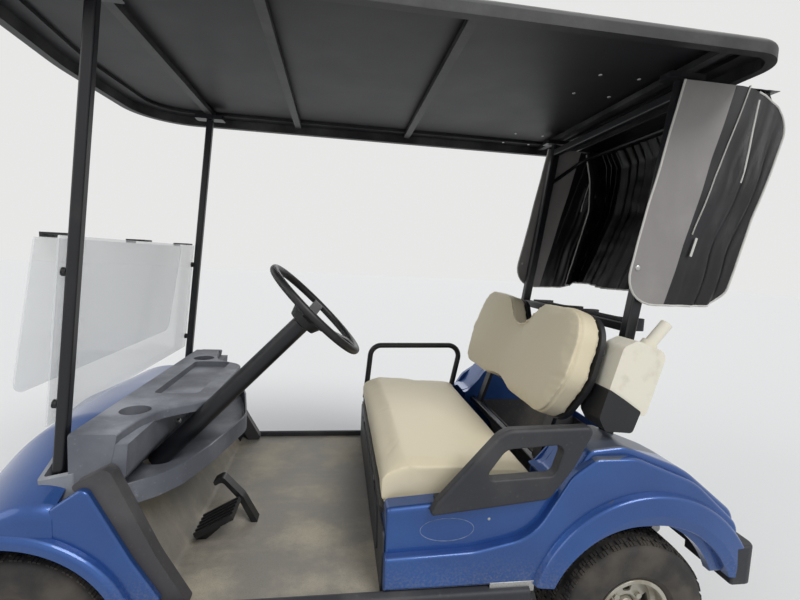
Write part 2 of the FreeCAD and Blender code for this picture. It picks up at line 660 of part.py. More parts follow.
def rear_body():
    """Hollow blue rear body: side pods with wheel arches, joined across behind the bag well."""
    outer = rear_side()
    rim = seat_rim_z - skin
    hollow_upper = side_prism([
        (rx(720.0), 200.0, 0.0), (rx(720.0), rim, 8.0), (rx(300.0), rim + 34.0, 60.0), (rx(218.0), 599.0, 50.0),
        (rx(140.0), 700.0, 40.0), (rx(42.0), 708.0, 60.0), (rx(-158.0), 632.0, 300.0), (rx(-334.0), 496.0, 60.0),
        (rx(-339.0), 200.0, 0.0),
    ], pod_inner - 1.0, upper_half_width - skin)
    near = well_half_width - 60.0
    far = body_half_width + 48.0
    arch = rod((rear_axle_x, near, axle_z), (rear_axle_x, far, axle_z), rear_arch_radius)
    drop = box(rx(-400.0), rx(800.0), near, far, 0.0, rocker_top + 1.0)
    behind = box(rx(-500.0), rx(body_tail), near, far, 0.0, 800.0)
    bumper_room = box(rx(-500.0), rx(bumper_wrap), near, far, 0.0, bumper_top + seat_gap)
    pod = outer.cut([hollow_upper, arch, drop, behind, bumper_room])
    lid_room = box(
        rx(seat_rear - 20.0), rx(900.0), near, cushion_half_width + 6.0, seat_base_z - pan_thickness - 2 * seat_gap, 800.0)
    inner_wall = side_prism([
        (rx(seat_rear - 10.0), 424.0, 0.0), (rx(seat_rear - 30.0), 590.0, 20.0), (rx(150.0), 694.0, 40.0), (rx(44.0), 704.0, 60.0),
        (rx(-156.0), 628.0, 300.0), (rx(-330.0), 490.0, 60.0), (rx(-330.0), 424.0, 0.0),
    ], well_half_width, rear_post_y - rear_post_size / 2 - seat_gap)
    deck = side_prism([
        (rx(seat_rear - 6.0), 590.0, 0.0), (rx(218.0), 604.0, 50.0), (rx(150.0), 704.0, 40.0), (rx(45.0), 714.0, 60.0),
        (rx(-160.0), 638.0, 300.0), (rx(-339.0), 498.0, 50.0), (rx(-341.0), 424.0, 0.0), (rx(-336.0), 424.0, 0.0),
        (rx(-334.0), 494.0, 50.0), (rx(-158.0), 632.0, 300.0), (rx(42.0), 708.0, 60.0), (rx(146.0), 698.0, 40.0),
        (rx(214.0), 592.0, 50.0),
    ], well_half_width, pod_inner + 1.0)
    post_hole = rear_post(2 * seat_gap)
    half = fuse([pod, inner_wall, deck]).cut([lid_room, post_hole])
    half = biggest(half)
    across = well_half_width + 2.0
    tail = box(rx(-341.0), rx(-336.0), -across, across, 424.0, 500.0)
    return fuse(both_sides(half) + [tail])


def bumper_bar(x_face, half, low, high, depth, corner, sign, x_of):
    """A bumper that wraps round the corners; sign is 1 at the front and -1 at the rear."""
    inner = depth
    ring = plan_prism([
        (x_of(x_face), -half, corner), (x_of(x_face), half, corner), (x_of(x_face - sign * 96.0), half, 6.0),
        (x_of(x_face - sign * 96.0), half - inner, 4.0), (x_of(x_face - sign * inner), half - inner, corner - inner),
        (x_of(x_face - sign * inner), -half + inner, corner - inner), (x_of(x_face - sign * 96.0), -half + inner, 4.0),
        (x_of(x_face - sign * 96.0), -half, 6.0),
    ], low, high)
    return ring


def front_bumper():
    bar = bumper_bar(front_overhang, 390.0, 205.0, 298.0, 36.0, 90.0, 1, fx)
    horn = box(fx(front_overhang - 60.0 + seat_gap), fx(front_overhang - 30.0), rail_y - 15.0, rail_y + 15.0, 244.0, 290.0)
    return fuse([bar] + both_sides(horn))


def rear_bumper():
    """Bar across the tail whose thick ends wrap round the body's corners, on two horns."""
    half = body_half_width - 14.0
    face = rx(-rear_overhang)
    back = rx(body_tail - seat_gap)
    front = rx(bumper_wrap - seat_gap)
    bar = plan_prism([
        (face + 14.0, -half, 34.0), (face, 0.0, 0.0), (face + 14.0, half, 34.0), (front, half, 8.0), (front, pod_inner, 0.0),
        (back, pod_inner, 0.0), (back, -pod_inner, 0.0), (front, -pod_inner, 0.0), (front, -half, 8.0),
    ], 300.0, bumper_top)
    rim = [e for e in face_loop(bar, "Z", bumper_top) if e.BoundBox.XMin < back - 1.0]
    bar = bar.makeFillet(9.0, [e for e in rim if e.BoundBox.YLength > 20.0 and e.BoundBox.XMax < back - 0.5])
    horn = box(rx(-350.0), rx(body_tail + 15.0 - seat_gap), rail_y - 15.0, rail_y + 15.0, 324.0, 364.0)
    return fuse([bar] + both_sides(horn))


def bag_well():
    """Grey tray behind the seat where the golf bags stand, with a leaning front wall."""
    half = well_half_width - seat_gap
    z0 = 372.0
    tray = side_prism([
        (rx(-334.0), z0, 4.0), (rx(76.0), z0, 20.0), (rx(170.0), 560.0, 0.0), (rx(164.0), 562.0, 0.0), (rx(70.0), z0 + 6.0, 20.0),
        (rx(-328.0), z0 + 6.0, 4.0), (rx(-328.0), 470.0, 2.0), (rx(-334.0), 470.0, 2.0),
    ], -half, half)
    ribs = []
    for i in range(7):
        y = -300.0 + 100.0 * i
        ribs.append(box(rx(-300.0), rx(50.0), y - 8.0, y + 8.0, z0 + 5.0, z0 + 12.0))
    wall = side_prism([
        (rx(-330.0), z0, 0.0), (rx(74.0), z0, 0.0), (rx(166.0), 556.0, 10.0), (rx(110.0), 560.0, 60.0), (rx(-60.0), 560.0, 60.0),
        (rx(-330.0), 468.0, 4.0),
    ], half - 5.0, half)
    return fuse([tray] + ribs + both_sides(wall))


def hinge_point():
    """Axis of the seat's hinge, just under its front edge."""
    return rx(seat_front - 10.0), seat_base_z - seat_gap - pan_thickness - 7.7


def seat_apron():
    """Front face of the seat box: a panel with a raised centre and a lip under the seat."""
    side = upper_half_width - 6.0
    low = floor_z + seat_gap
    high = seat_base_z - 32.0
    panel = front_prism(
        [(-side, low, 10.0), (side, low, 10.0), (side, high, 20.0), (-side, high, 20.0)],
        rx(seat_front - 15.0 + seat_gap), rx(seat_front - 9.0))
    raised = front_prism([
        (110.0 - side, low + 40.0, 24.0), (side - 110.0, low + 40.0, 24.0), (side - 140.0, high - 13.0, 24.0),
        (140.0 - side, high - 13.0, 24.0),
    ], rx(seat_front - 10.0), rx(seat_front - 4.0))
    x, z = hinge_point()
    cheeks = []
    for y in hinge_ys:
        for s in (-1, 1):
            edge = y + s * 20.0
            cheek = fuse([rod((x, edge - 2.0, z), (x, edge + 2.0, z), 7.0),
                          box(x - 7.0, x + 3.0, edge - 2.0, edge + 2.0, high - 13.0, z)])
            cheeks.append(cheek)
        cheeks.append(rod((x, y - 22.0, z), (x, y + 22.0, z), hinge_pin))
    return fuse([panel, raised] + cheeks)


def seat_lid():
    """Seat pan that lifts about its front edge, with the hinge knuckles on its underside."""
    z1 = seat_base_z - seat_gap
    half = cushion_half_width + 2.0
    pan = plan_prism([
        (rx(seat_rear), -half, 24.0), (rx(seat_front - 6.0), -half, 30.0), (rx(seat_front - 6.0), half, 30.0),
        (rx(seat_rear), half, 24.0),
    ], z1 - pan_thickness, z1)
    x, z = hinge_point()
    lugs = []
    for y in hinge_ys:
        eye = rod((x, y - 17.0, z), (x, y + 17.0, z), 7.4)
        neck = box(x - 7.0, x + 3.0, y - 17.0, y + 17.0, z, z1 - 4.0)
        lugs.append(fuse([eye, neck]).cut(rod((x, y - 20.0, z), (x, y + 20.0, z), hinge_pin + pin_gap)))
    return fuse([pan] + lugs)


def seat_cushion():
    half = cushion_half_width
    body = side_prism([
        (rx(seat_rear + 4.0), seat_base_z, 20.0), (rx(seat_front - 2.0), seat_base_z, 24.0), (rx(seat_front + 8.0), seat_top_z - 30.0, 40.0),
        (rx(seat_front - 70.0), seat_top_z, 60.0), (rx(seat_rear), seat_top_z - 22.0, 36.0),
    ], -half, half)
    return body


def seat_back_outline(margin):
    """Rows of (across, up the slope, radius): two rests with a deep dip between them."""
    half = back_half_width - margin
    top = back_height - margin
    dip = top - 135.0
    foot = margin + 34.0
    return [
        (-half + 70.0, margin, 90.0), (-140.0, margin, 120.0), (0.0, foot, 260.0), (140.0, margin, 120.0),
        (half - 70.0, margin, 90.0), (half, 150.0, 150.0), (half - 26.0, top, 120.0), (160.0, top, 120.0),
        (0.0, dip, 110.0), (-160.0, top, 120.0), (-half + 26.0, top, 120.0), (-half, 150.0, 150.0),
    ]


def lean_slab(rows, near, far):
    """Extrude a seat-back outline from depth near to depth far behind its front face."""
    wire = outline(rows, lambda u, v: V(-near, u, v))
    slab = Part.Face(wire).extrude(V(near - far, 0, 0))
    slab.rotate(V(0, 0, 0), V(0, 1, 0), -back_lean)
    slab.translate(V(rx(back_front), 0, back_bottom_z))
    return slab


def seat_back():
    return lean_slab(seat_back_outline(0.0), 0.0, back_thickness)


def seat_back_shell():
    near = back_thickness + seat_gap
    slab = lean_slab(seat_back_outline(8.0), near, near + back_shell)
    return slab


def seat_brackets():
    """Two flat uprights from the body deck to the seat-back shell, with a cross bar."""
    lean = math.radians(back_lean)
    depth = back_thickness + seat_gap + back_shell + seat_gap
    base = V(rx(back_front), 0, back_bottom_z) + V(-depth * math.cos(lean), 0, -depth * math.sin(lean))
    slope = V(-math.sin(lean), 0, math.cos(lean))
    back = V(-14.0 * math.cos(lean), 0, -14.0 * math.sin(lean))
    tip = base + slope * 250.0
    foot = base - slope * 175.0
    parts = []
    for y in (-300.0, 300.0):
        corners = [foot, tip, tip + back, foot + back, foot]
        wire = Part.makePolygon([V(p.x, y - 22.0, p.z) for p in corners])
        parts.append(Part.Face(wire).extrude(V(0, 44.0, 0)))
    half = well_half_width - seat_gap
    bar = square_bar((foot.x - 4.0, -half, foot.z + 14.0), (foot.x - 4.0, half, foot.z + 14.0), 24.0, 4.0)
    return fuse(parts + [bar])


def hip_restraint():
    """Moulded loop at the driver's hip, on a flange that rests on the body's ledge."""
    outer = [
        (rx(616.0), 543.0, 8.0), (rx(598.0), 580.0, 24.0), (rx(424.0), 780.0, 72.0), (rx(156.0), 788.0, 18.0),
        (rx(214.0), 668.0, 160.0), (rx(280.0), 580.0, 40.0),
    ]
    hole = [
        (rx(474.0), 640.0, 16.0), (rx(414.0), 726.0, 40.0), (rx(244.0), 738.0, 22.0), (rx(270.0), 650.0, 24.0),
    ]
    y0 = upper_half_width + seat_gap
    y1 = y0 + 34.0
    loop = side_prism(outer, y0, y1)
    loop = loop.makeFillet(11.0, face_loop(loop, "Y", y1))
    loop = loop.makeFillet(6.0, face_loop(loop, "Y", y0))
    grip = side_prism(hole, y0 - 5.0, y1 + 5.0)
    loop = loop.cut(grip)
    rim = [e for e in face_loop(loop, "Y", y1) if e.BoundBox.XMin > rx(240.0) and e.BoundBox.XMax < rx(480.0)
           and 636.0 < e.BoundBox.ZMin and e.BoundBox.ZMax < 742.0]
    loop = loop.makeFillet(6.0, rim)

    def ledge(x):
        return seat_rim_z + 34.0 * (727.0 - x) / 427.0 + seat_gap

    flange = side_prism([
        (rx(590.0), ledge(590.0), 0.0), (rx(350.0), ledge(350.0), 0.0), (rx(350.0), ledge(350.0) + 8.0, 0.0),
        (rx(590.0), ledge(590.0) + 8.0, 0.0),
    ], y0 - 40.0, y0 + 12.0)
    return fuse([loop, flange])


def hold_bar():
    """Bent tube handrail on the passenger's side."""
    y = -(upper_half_width - 28.0)
    bar = bent_tube([
        (rx(718.0), y, 520.0), (rx(697.0), y, 786.0), (rx(238.0), y, 795.0), (rx(281.0), y, 560.0),
    ], 55.0, 13.0)
    return bar.cut(side_prism(hip_line(seat_gap + 0.1), y - 40.0, y + 40.0))


def steering_frame(shape):
    """Move a part from the steering wheel's own axis, +Z, to its place on the column."""
    shape = shape.copy()
    shape.rotate(V(0, 0, 0), V(0, 1, 0), -(90.0 - column_angle))
    shape.translate(V(fx(steering_hub[0]), steering_hub[1], steering_hub[2]))
    return shape


def steering_wheel():
    """Ring, three dished spokes, hub pad and the shaft that turns with it."""
    dish = steering_dish
    ring = Part.makeTorus(steering_ring_radius, steering_grip, V(0, 0, dish))
    hub = Part.makeCone(46.0, 60.0, 34.0, V(0, 0, -10.0))
    spokes = []
    for angle in (90.0, 180.0, 270.0):
        spoke = side_prism([
            (20.0, 2.0, 0.0), (20.0, 20.0, 4.0), (steering_ring_radius - 40.0, dish + 5.0, 20.0), (steering_ring_radius, dish + 5.0, 0.0),
            (steering_ring_radius, dish - 5.0, 0.0), (steering_ring_radius - 36.0, dish - 7.0, 20.0),
        ], -17.0, 17.0)
        spoke.rotate(V(0, 0, 0), V(0, 0, 1), angle)
        spokes.append(spoke)
    shaft = Part.makeCylinder(10.0, 90.0, V(0, 0, -95.0))
    pad_top = plan_prism([(-38.0, -52.0, 16.0), (38.0, -52.0, 16.0), (38.0, 52.0, 16.0), (-38.0, 52.0, 16.0)], 20.0, 34.0)
    return steering_frame(fuse([ring, hub, shaft, pad_top] + spokes))


def steering_column():
    """Shroud tube, dash bracket and the lower shaft down to the rack's pinion."""
    shroud = Part.makeCylinder(column_radius, column_length - 15.0, V(0, 0, -column_length))
    bore = Part.makeCylinder(10.0 + seat_gap, 100.0, V(0, 0, -98.0))
    upper = steering_frame(shroud.cut(bore))
    lower = rod(*lower_shaft_ends(), lower_shaft)
    return fuse([upper, lower])


def pedals():
    """Brake pedal with its ribbed pad, and the accelerator beside it, on arms from the floor."""
    parts = []
    pad_x = fx(-420.0)
    arm = side_prism([
        (fx(-382.0), floor_z + seat_gap, 4.0), (fx(-352.0), floor_z + seat_gap, 0.0), (pad_x + 34.0, 362.0, 10.0), (pad_x - 8.0, 345.0, 4.0),
    ], 240.0, 262.0)
    pad_slab = box(-62.0, 62.0, -58.0, 58.0, 0.0, 14.0)
    ribs = [box(-62.0, 62.0, -50.0 + 20.0 * i, -42.0 + 20.0 * i, 14.0, 18.0) for i in range(6)]
    brake_pad = fuse([pad_slab] + ribs)
    brake_pad.rotate(V(0, 0, 0), V(0, 1, 0), 28.0)
    brake_pad.translate(V(pad_x, 251.0, 366.0))
    parts.append(fuse([arm, brake_pad]))
    gas = side_prism([
        (fx(-528.0), floor_z + seat_gap, 3.0), (fx(-506.0), floor_z + seat_gap, 3.0), (fx(-462.0), 390.0, 40.0),
        (fx(-410.0), 450.0, 12.0), (fx(-386.0), 438.0, 4.0), (fx(-380.0), 452.0, 4.0), (fx(-410.0), 470.0, 16.0),
        (fx(-478.0), 396.0, 40.0),
    ], 140.0, 180.0)
    parts.append(gas)
    return keep(parts)


def ledge_plan(inset):
    """Plan of the dash's ledge or tray: narrow at its ends, bulging back round the column."""
    end = dash_half_width - inset
    return [
        (end, 229.0 - inset, 14.0), (end - 116.0, 243.0 - inset, 80.0), (end - 187.0, 268.0 - inset, 90.0),
        (end - 230.0, 318.0 - inset, 90.0), (end - 276.0, 384.0 - inset, 70.0),
    ]


def tray_plan(inset):
    end = dash_half_width - 1.0 - inset
    return [
        (end, 246.0 - inset, 6.0), (end - 59.0, 315.0 - inset, 60.0), (end - 117.0, 354.0 - inset, 90.0),
        (end - 242.0, 396.0 - inset, 200.0), (0.0, 452.0 - inset, 200.0),
    ]


def across_plan(rows, front, z0, z1):
    """Extrude a plan whose rear edge is given for the left side and repeated on the right."""
    left = [(fx(-back), y, r) for y, back, r in rows]
    right = [(x, -y, r) for x, y, r in reversed(left) if y > 0.0]
    end = rows[0][0]
    points = [(fx(front), end, 0.0)] + left + right + [(fx(front), -end, 0.0)]
    return plan_prism(points, z0, z1)


def dash():
    """Grey moulded dash: ledge, recessed fascia, open tray below it and two cup pockets."""
    half = dash_half_width
    front = -125.0
    top = 752.0
    under = 722.0
    ledge = across_plan(ledge_plan(0.0), front, under, top)
    rim = [e for e in face_loop(ledge, "Z", top) if e.BoundBox.XMax < fx(-224.0)]
    ledge = ledge.makeFillet(9.0, rim)
    fascia = side_prism([
        (fx(front), toe_top_z + seat_gap, 0.0), (fx(front), under + 4.0, 0.0), (fx(-262.0), under + 4.0, 0.0),
        (fx(-256.0), 640.0, 30.0), (fx(-190.0), toe_top_z + seat_gap, 30.0),
    ], 1.0 - half, half - 1.0)
    cheek = side_prism([
        (fx(front), 606.0, 0.0), (fx(front), top - 6.0, 0.0), (fx(-150.0), top, 8.0), (fx(-238.0), top, 6.0),
        (fx(-221.0), 668.0, 4.0), (fx(-186.0), 650.0, 4.0), (fx(-160.0), 606.0, 4.0),
    ], half - 28.0, half)
    low = toe_top_z + seat_gap
    tray = across_plan(tray_plan(0.0), -180.0, low, low + 58.0)
    room = across_plan(tray_plan(5.0), -175.0, low + 5.0, low + 70.0)
    basket = tray.cut(room)
    pocket = plan_prism([
        (fx(-190.0), -270.0, 20.0), (fx(-190.0), 170.0, 20.0), (fx(-330.0), 170.0, 24.0), (fx(-330.0), -270.0, 24.0),
    ], top - 22.0, top + 40.0)
    cups = [Part.makeCylinder(41.0, 90.0, V(fx(-205.0), y, 684.0)) for y in (-330.0, 330.0)]
    column_hole = steering_frame(Part.makeCylinder(column_radius + seat_gap, 700.0, V(0, 0, -700.0)))
    body = fuse([ledge, fascia, basket] + both_sides(cheek))
    return body.cut([pocket, column_hole] + cups + both_sides(socket_block(seat_gap)))


def door_trims():
    """Dark band that lines the front edge of each door opening, from dash to floor."""
    band = side_prism([
        (fx(-150.0), 640.0, 10.0), (fx(-190.0), 662.0, 6.0), (fx(-224.0), 680.0, 8.0), (fx(-240.0), 672.0, 20.0),
        (fx(-342.0), 452.0, 300.0), (fx(-426.0), floor_z + seat_gap, 12.0), (fx(-362.0), floor_z + seat_gap, 6.0),
        (fx(-288.0), 452.0, 300.0),
    ], dash_half_width + 1.0, floor_half_width - 1.0)
    return keep(both_sides(band))


def socket_top(z_shift):
    """Block above the sloping plane of the left socket's rim."""
    x = fx(post_foot[0])
    slab = box(-200.0, 200.0, -200.0, 200.0, 0.0, 200.0)
    slab.rotate(V(0, 0, 0), V(1, 0, 0), -26.0)
    slab.rotate(V(0, 0, 0), V(0, 1, 0), 12.0)
    slab.translate(V(x, post_y, post_foot[1] + 80.0 + z_shift))
    return slab


def socket_block(extra):
    """Left socket's outer form, larger by extra on every side."""
    x = fx(post_foot[0] - 13.0)
    block = box(x - 43.0 - extra, x + 43.0 + extra, post_y - 37.0 - extra, post_y + 33.0 + extra, 566.0 - extra, 720.0)
    block = block.makeFillet(8.0, [e for e in block.Edges if e.BoundBox.ZLength > 60.0])
    return block.cut(socket_top(extra))


def strut_sockets():
    """Light grey socket round the foot of each front post, its rim sloping with the body."""
    hole = front_post(2 * seat_gap)
    x = fx(post_foot[0] - 13.0)
    well = box(x - 33.0, x + 33.0, post_y - 28.0, post_y + 24.0, 620.0, 720.0)
    well = well.makeFillet(8.0, [e for e in well.Edges if e.BoundBox.ZLength > 60.0])
    return keep(both_sides(socket_block(0.0).cut([hole, well])))


def front_post(extra):
    x0, z0 = post_foot
    x1, z1 = post_head
    return square_bar((fx(x0), post_y, z0), (fx(x1), post_y, z1), post_size + extra, 7.0)


def front_posts():
    return keep(both_sides(front_post(0.0)))


def rear_post(extra):
    x0, z0 = rear_post_foot
    x1, z1 = rear_post_head
    return square_bar((rx(x0), rear_post_y, z0 - extra), (rx(x1), rear_post_y, z1), rear_post_size + extra, 7.0)


def rear_frame():
    """Rear roof posts with the cross bars that carry the bag rests and the roof."""
    x0, z0 = rear_post_foot
    x1, z1 = rear_post_head
    post = rear_post(0.0)

    def at(z):
        return x0 + (x1 - x0) * (z - z0) / (z1 - z0)

    bars = []
    for z in (1040.0, 1760.0):
        x = rx(at(z))
        bars.append(square_bar((x, -rear_post_y, z), (x, rear_post_y, z), 30.0, 5.0))
    return fuse(both_sides(post) + bars)


def roof_plan(margin):
    half = roof_half_width - margin
    return [
        (rx(-roof_rear + margin), -half, 110.0 - margin), (fx(roof_front - 40.0 - margin), -half, 240.0 - margin),
        (fx(roof_front - margin), 0.0, 900.0), (fx(roof_front - 40.0 - margin), half, 240.0 - margin),
        (rx(-roof_rear + margin), half, 110.0 - margin),
    ]


def roof():
    """One-piece roof shell: a downturned rim all round, a raised centre and ribs below."""
    z0 = roof_z
    z1 = roof_z + roof_rim
    slab = plan_prism(roof_plan(0.0), z0, z1)
    slab = slab.makeFillet(16.0, face_loop(slab, "Z", z1))
    raised = plan_prism(roof_plan(70.0), z1 - 1.0, z1 + 12.0)
    raised = raised.makeFillet(8.0, face_loop(raised, "Z", z1 + 12.0))
    hollow = plan_prism(roof_plan(26.0), z0 - 1.0, z1 - roof_skin)
    hollow_top = plan_prism(roof_plan(82.0), z1 - roof_skin - 1.0, z1 + 12.0 - roof_skin)
    shell = fuse([slab, raised]).cut([hollow, hollow_top])
    ribs = []
    for x in (fx(post_head[0]), fx(-560.0), fx(-1080.0), rx(rear_post_head[0])):
        ribs.append(box(x - 14.0, x + 14.0, -roof_half_width + 40.0, roof_half_width - 40.0, z0 + roof_rib_drop, z1 - 3.0))
    return fuse([shell] + ribs)


def roof_rails():
    """Plates that bolt each post's head to the roof's ribs."""
    high = roof_z + roof_rib_drop - seat_gap
    plates = []
    rows = (
        (fx(post_head[0]), post_y, post_size, post_foot, post_head),
        (rx(rear_post_head[0]), rear_post_y, rear_post_size, rear_post_foot, rear_post_head),
    )
    for x, y, size, foot, head in rows:
        lean = math.atan2(foot[0] - head[0], head[1] - foot[1])
        low = head[1] + size / 2 * math.sin(lean) + seat_gap
        plates += both_sides(plan_prism([
            (x - 60.0, y - 26.0, 8.0), (x + 60.0, y - 26.0, 8.0), (x + 60.0, y + 26.0, 8.0), (x - 60.0, y + 26.0, 8.0),
        ], low, high))
    return keep(plates)


def windscreen_pane(ahead, z_low, z_high, corner_low, corner_high, extra):
    """Flat clear sheet parallel to the front posts, ahead of them by a gap."""
    x0, z0 = post_foot
    x1, z1 = post_head
    slope = (x1 - x0) / (z1 - z0)
    half = post_y + screen_step
    thick = 4.5
    rows = [(-half, 0.0, corner_low), (half, 0.0, corner_low), (half, z_high - z_low, corner_high), (-half, z_high - z_low, corner_high)]
    pane = outline(rows, lambda u, v: V(0, u, v))
    solid = Part.Face(pane).extrude(V(thick, 0, 0))
    angle = math.degrees(math.atan(slope)) + extra
    solid.rotate(V(0, 0, 0), V(0, 1, 0), angle)
    solid.translate(V(fx(x0 + slope * (z_low - z0) + post_size / 2 + ahead), 0, z_low))
    return solid


def windscreen_lower():
    return windscreen_pane(12.0, 768.0, 1240.0, 4.0, 6.0, 0.0)


def windscreen_upper():
    return windscreen_pane(92.0, 845.0, 1236.0, 40.0, 6.0, -4.0)


def windscreen_fittings():
    """Rubber spacers between pane and posts, and the clips along the fold."""
    x0, z0 = post_foot
    x1, z1 = post_head
    slope = (x1 - x0) / (z1 - z0)
    lean = math.atan(-slope)
    parts = []
    for z in (820.0, 1150.0):
        x = fx(x0 + slope * (z - z0) + post_size / 2 / math.cos(lean))
        for s in (-1, 1):
            spacer = Part.makeCylinder(11.0, 11.6 - 2 * seat_gap, V(x, s * post_y, z), V(math.cos(lean), 0, math.sin(lean)))
            spacer.translate(V(seat_gap * math.cos(lean), 0, seat_gap * math.sin(lean)))
            parts.append(spacer)
    lower_top = windscreen_lower().BoundBox
    upper_top = windscreen_upper().BoundBox
    for y in (37.0 - post_y, 0.0, post_y - 37.0):
        parts.append(fuse([
            box(lower_top.XMin, upper_top.XMin + 7.0, y - 30.0, y + 30.0, lower_top.ZMax + seat_gap, lower_top.ZMax + 6.0),
            box(upper_top.XMin, upper_top.XMin + 7.0, y - 30.0, y + 30.0, upper_top.ZMax + seat_gap, lower_top.ZMax + 6.0),
        ]))
    return keep(parts)


bow_y = rear_post_y + rear_post_size / 2 + seat_gap + bow_radius
curtain_y = bow_y + bow_radius + seat_gap


def cover_side():
    """Left side curtain of the bag cover, a flat quarter panel with rounded corners."""
    return side_prism([
        (rx(0.0), 1105.0, 40.0), (rx(-138.0), 1790.0, 4.0), (rx(-400.0), 1790.0, 120.0), (rx(-478.0), 1690.0, 60.0),
        (rx(-300.0), 1120.0, 60.0),
    ], curtain_y, curtain_y + 5.0)


def cover_bundle():
    """Rear of the bag cover, rolled up and hanging in folds between the side curtains."""
    return side_prism([
        (rx(-250.0), 1150.0, 30.0), (rx(-330.0), 1130.0, 30.0), (rx(-470.0), 1480.0, 60.0),
        (rx(-cover_overhang), 1640.0, 60.0), (rx(-cover_overhang), 1710.0, 30.0),
        (rx(-450.0), roof_z - seat_gap, 30.0), (rx(-300.0), roof_z - seat_gap, 6.0), (rx(-350.0), 1500.0, 80.0),
    ], -curtain_y + seat_gap, curtain_y - seat_gap)


def cover_bow():
    """Tube bow that holds the cover out behind the rear posts."""
    z = 1600.0
    return bent_tube([
        (rx(-112.0), bow_y, z), (rx(-290.0), bow_y, z + 140.0), (rx(-290.0), -bow_y, z + 140.0), (rx(-112.0), -bow_y, z),
    ], 60.0, bow_radius)


def bag_rack():
    """Two scooped bag rests on the rear cross bar, each with its strap loop."""
    x0, z0 = rear_post_foot
    x1, z1 = rear_post_head
    x = rx(x0 + (x1 - x0) * (1040.0 - z0) / (z1 - z0)) - 15.0 - seat_gap
    near = 35.0
    far = rear_post_y - rear_post_size / 2 - 37.0
    plate = plan_prism([
        (x, near, 6.0), (x - 90.0, near, 20.0), (x - 90.0, near + 30.0, 10.0), (x - 30.0, near + 60.0, 30.0),
        (x - 30.0, far - 60.0, 30.0), (x - 90.0, far - 30.0, 10.0), (x - 90.0, far, 20.0), (x, far, 6.0),
    ], 1020.0, 1060.0)
    return keep(both_sides(plate))


def lean_back(shape):
    """Turn a part drawn upright, its lower front corner at the origin, to the bottle's place."""
    shape = tilt(shape, (0, 0, 0), -bottle_lean)
    y = rear_post_y + rear_post_size / 2 + seat_gap + holder_wall + seat_gap
    shape.translate(V(rx(bottle_foot[0]), y, bottle_foot[1]))
    return shape


def sand_bottle():
    """Ivory bottle that leans like the seat back, with a sloping shoulder and a spout."""
    high = bottle_height
    body = side_prism([
        (-bottle_depth, 0.0, 16.0), (0.0, 0.0, 16.0), (0.0, high - 30.0, 26.0), (-36.0, high, 24.0),
        (-bottle_depth, high - 8.0, 30.0),
    ], 0.0, bottle_width)
    middle = bottle_width / 2
    spout = rod((-96.0, middle, high - 30.0), (-142.0, middle, high + 76.0), 18.0)
    collar = rod((-101.0, middle, high - 16.0), (-110.0, middle, high + 6.0), 24.0)
    return lean_back(fuse([body, spout, collar]))


def bottle_holder():
    """Black bracket on the rear post that carries the bottle by its lower front half."""
    g = seat_gap
    w = holder_wall + g
    outer = side_prism([
        (w, holder_height, 6.0), (w, -40.0, 24.0), (-27.0, -72.0, 14.0), (-112.0, -56.0, 14.0), (-116.0, 12.0, 6.0),
        (-50.0, 34.0, 24.0),
    ], -w, bottle_width + w)
    room = side_prism([
        (-bottle_depth - g, -g, 16.0), (g, -g, 16.0), (g, holder_height + 40.0, 0.0), (-bottle_depth - g, holder_height + 40.0, 0.0),
    ], -g, bottle_width + g)
    return lean_back(outer.cut(room))


def build():
    nodes = {}
    wheels(nodes)
    left = knuckle()
    nodes["knuckle_left"] = left
    nodes["knuckle_right"] = mirror_y(left)
    nodes["front_axle_beam"] = front_axle()
    spring = coil_over(front_axle_x, spring_y, axle_z + 22.0 + seat_gap, tower_z)
    nodes["front_springs"] = keep(both_sides(spring))
    nodes["frame_rails"] = frame_rails()
    nodes["rear_axle"] = rear_axle()
    nodes["rear_springs"] = rear_springs()
    nodes["engine_block"] = engine_block()
    nodes["steering_rack"] = steering_rack()
    nodes["tie_rods"] = tie_rods()
    nodes["floor_pan"] = floor_pan()
    nodes["rockers"] = rockers()
    nodes["front_cowl"] = front_cowl()
    nodes["front_bumper"] = front_bumper()
    nodes["dash"] = dash()
    nodes["door_trims"] = door_trims()
    nodes["strut_sockets"] = strut_sockets()
    nodes["front_posts"] = front_posts()
    nodes["rear_body"] = rear_body()
    nodes["rear_bumper"] = rear_bumper()
    nodes["bag_well"] = bag_well()
    nodes["seat_apron"] = seat_apron()
    nodes["seat_pan"] = seat_lid()
    nodes["seat_cushion"] = seat_cushion()
    nodes["seat_back"] = seat_back()
    nodes["seat_back_shell"] = seat_back_shell()
    nodes["seat_brackets"] = seat_brackets()
    nodes["hip_restraint"] = hip_restraint()
    nodes["hold_bar"] = hold_bar()
    nodes["steering_wheel"] = steering_wheel()
    nodes["steering_column"] = steering_column()
    nodes["pedals"] = pedals()
    nodes["rear_frame"] = rear_frame()
    nodes["roof"] = roof()
    nodes["roof_rails"] = roof_rails()
    nodes["windscreen_lower"] = windscreen_lower()
    nodes["windscreen_upper"] = windscreen_upper()
    nodes["windscreen_fittings"] = windscreen_fittings()
    nodes["cover_sides"] = keep(both_sides(cover_side()))
    nodes["cover_bundle"] = cover_bundle()
    nodes["cover_bow"] = cover_bow()
    nodes["bag_rack"] = bag_rack()
    nodes["sand_bottle"] = sand_bottle()
    nodes["bottle_holder"] = bottle_holder()
    return nodes


os.makedirs("parts", exist_ok=True)
for name, shape in build().items():
    if not shape.isValid():
        print("not valid:", name)
    shape.exportStep("parts/" + name + ".step")
    bb = shape.BoundBox
    print(name, len(shape.Solids), round(shape.Volume / 1e6, 3), "litres",
          [round(v) for v in (bb.XMin, bb.XMax, bb.YMin, bb.YMax, bb.ZMin, bb.ZMax)])
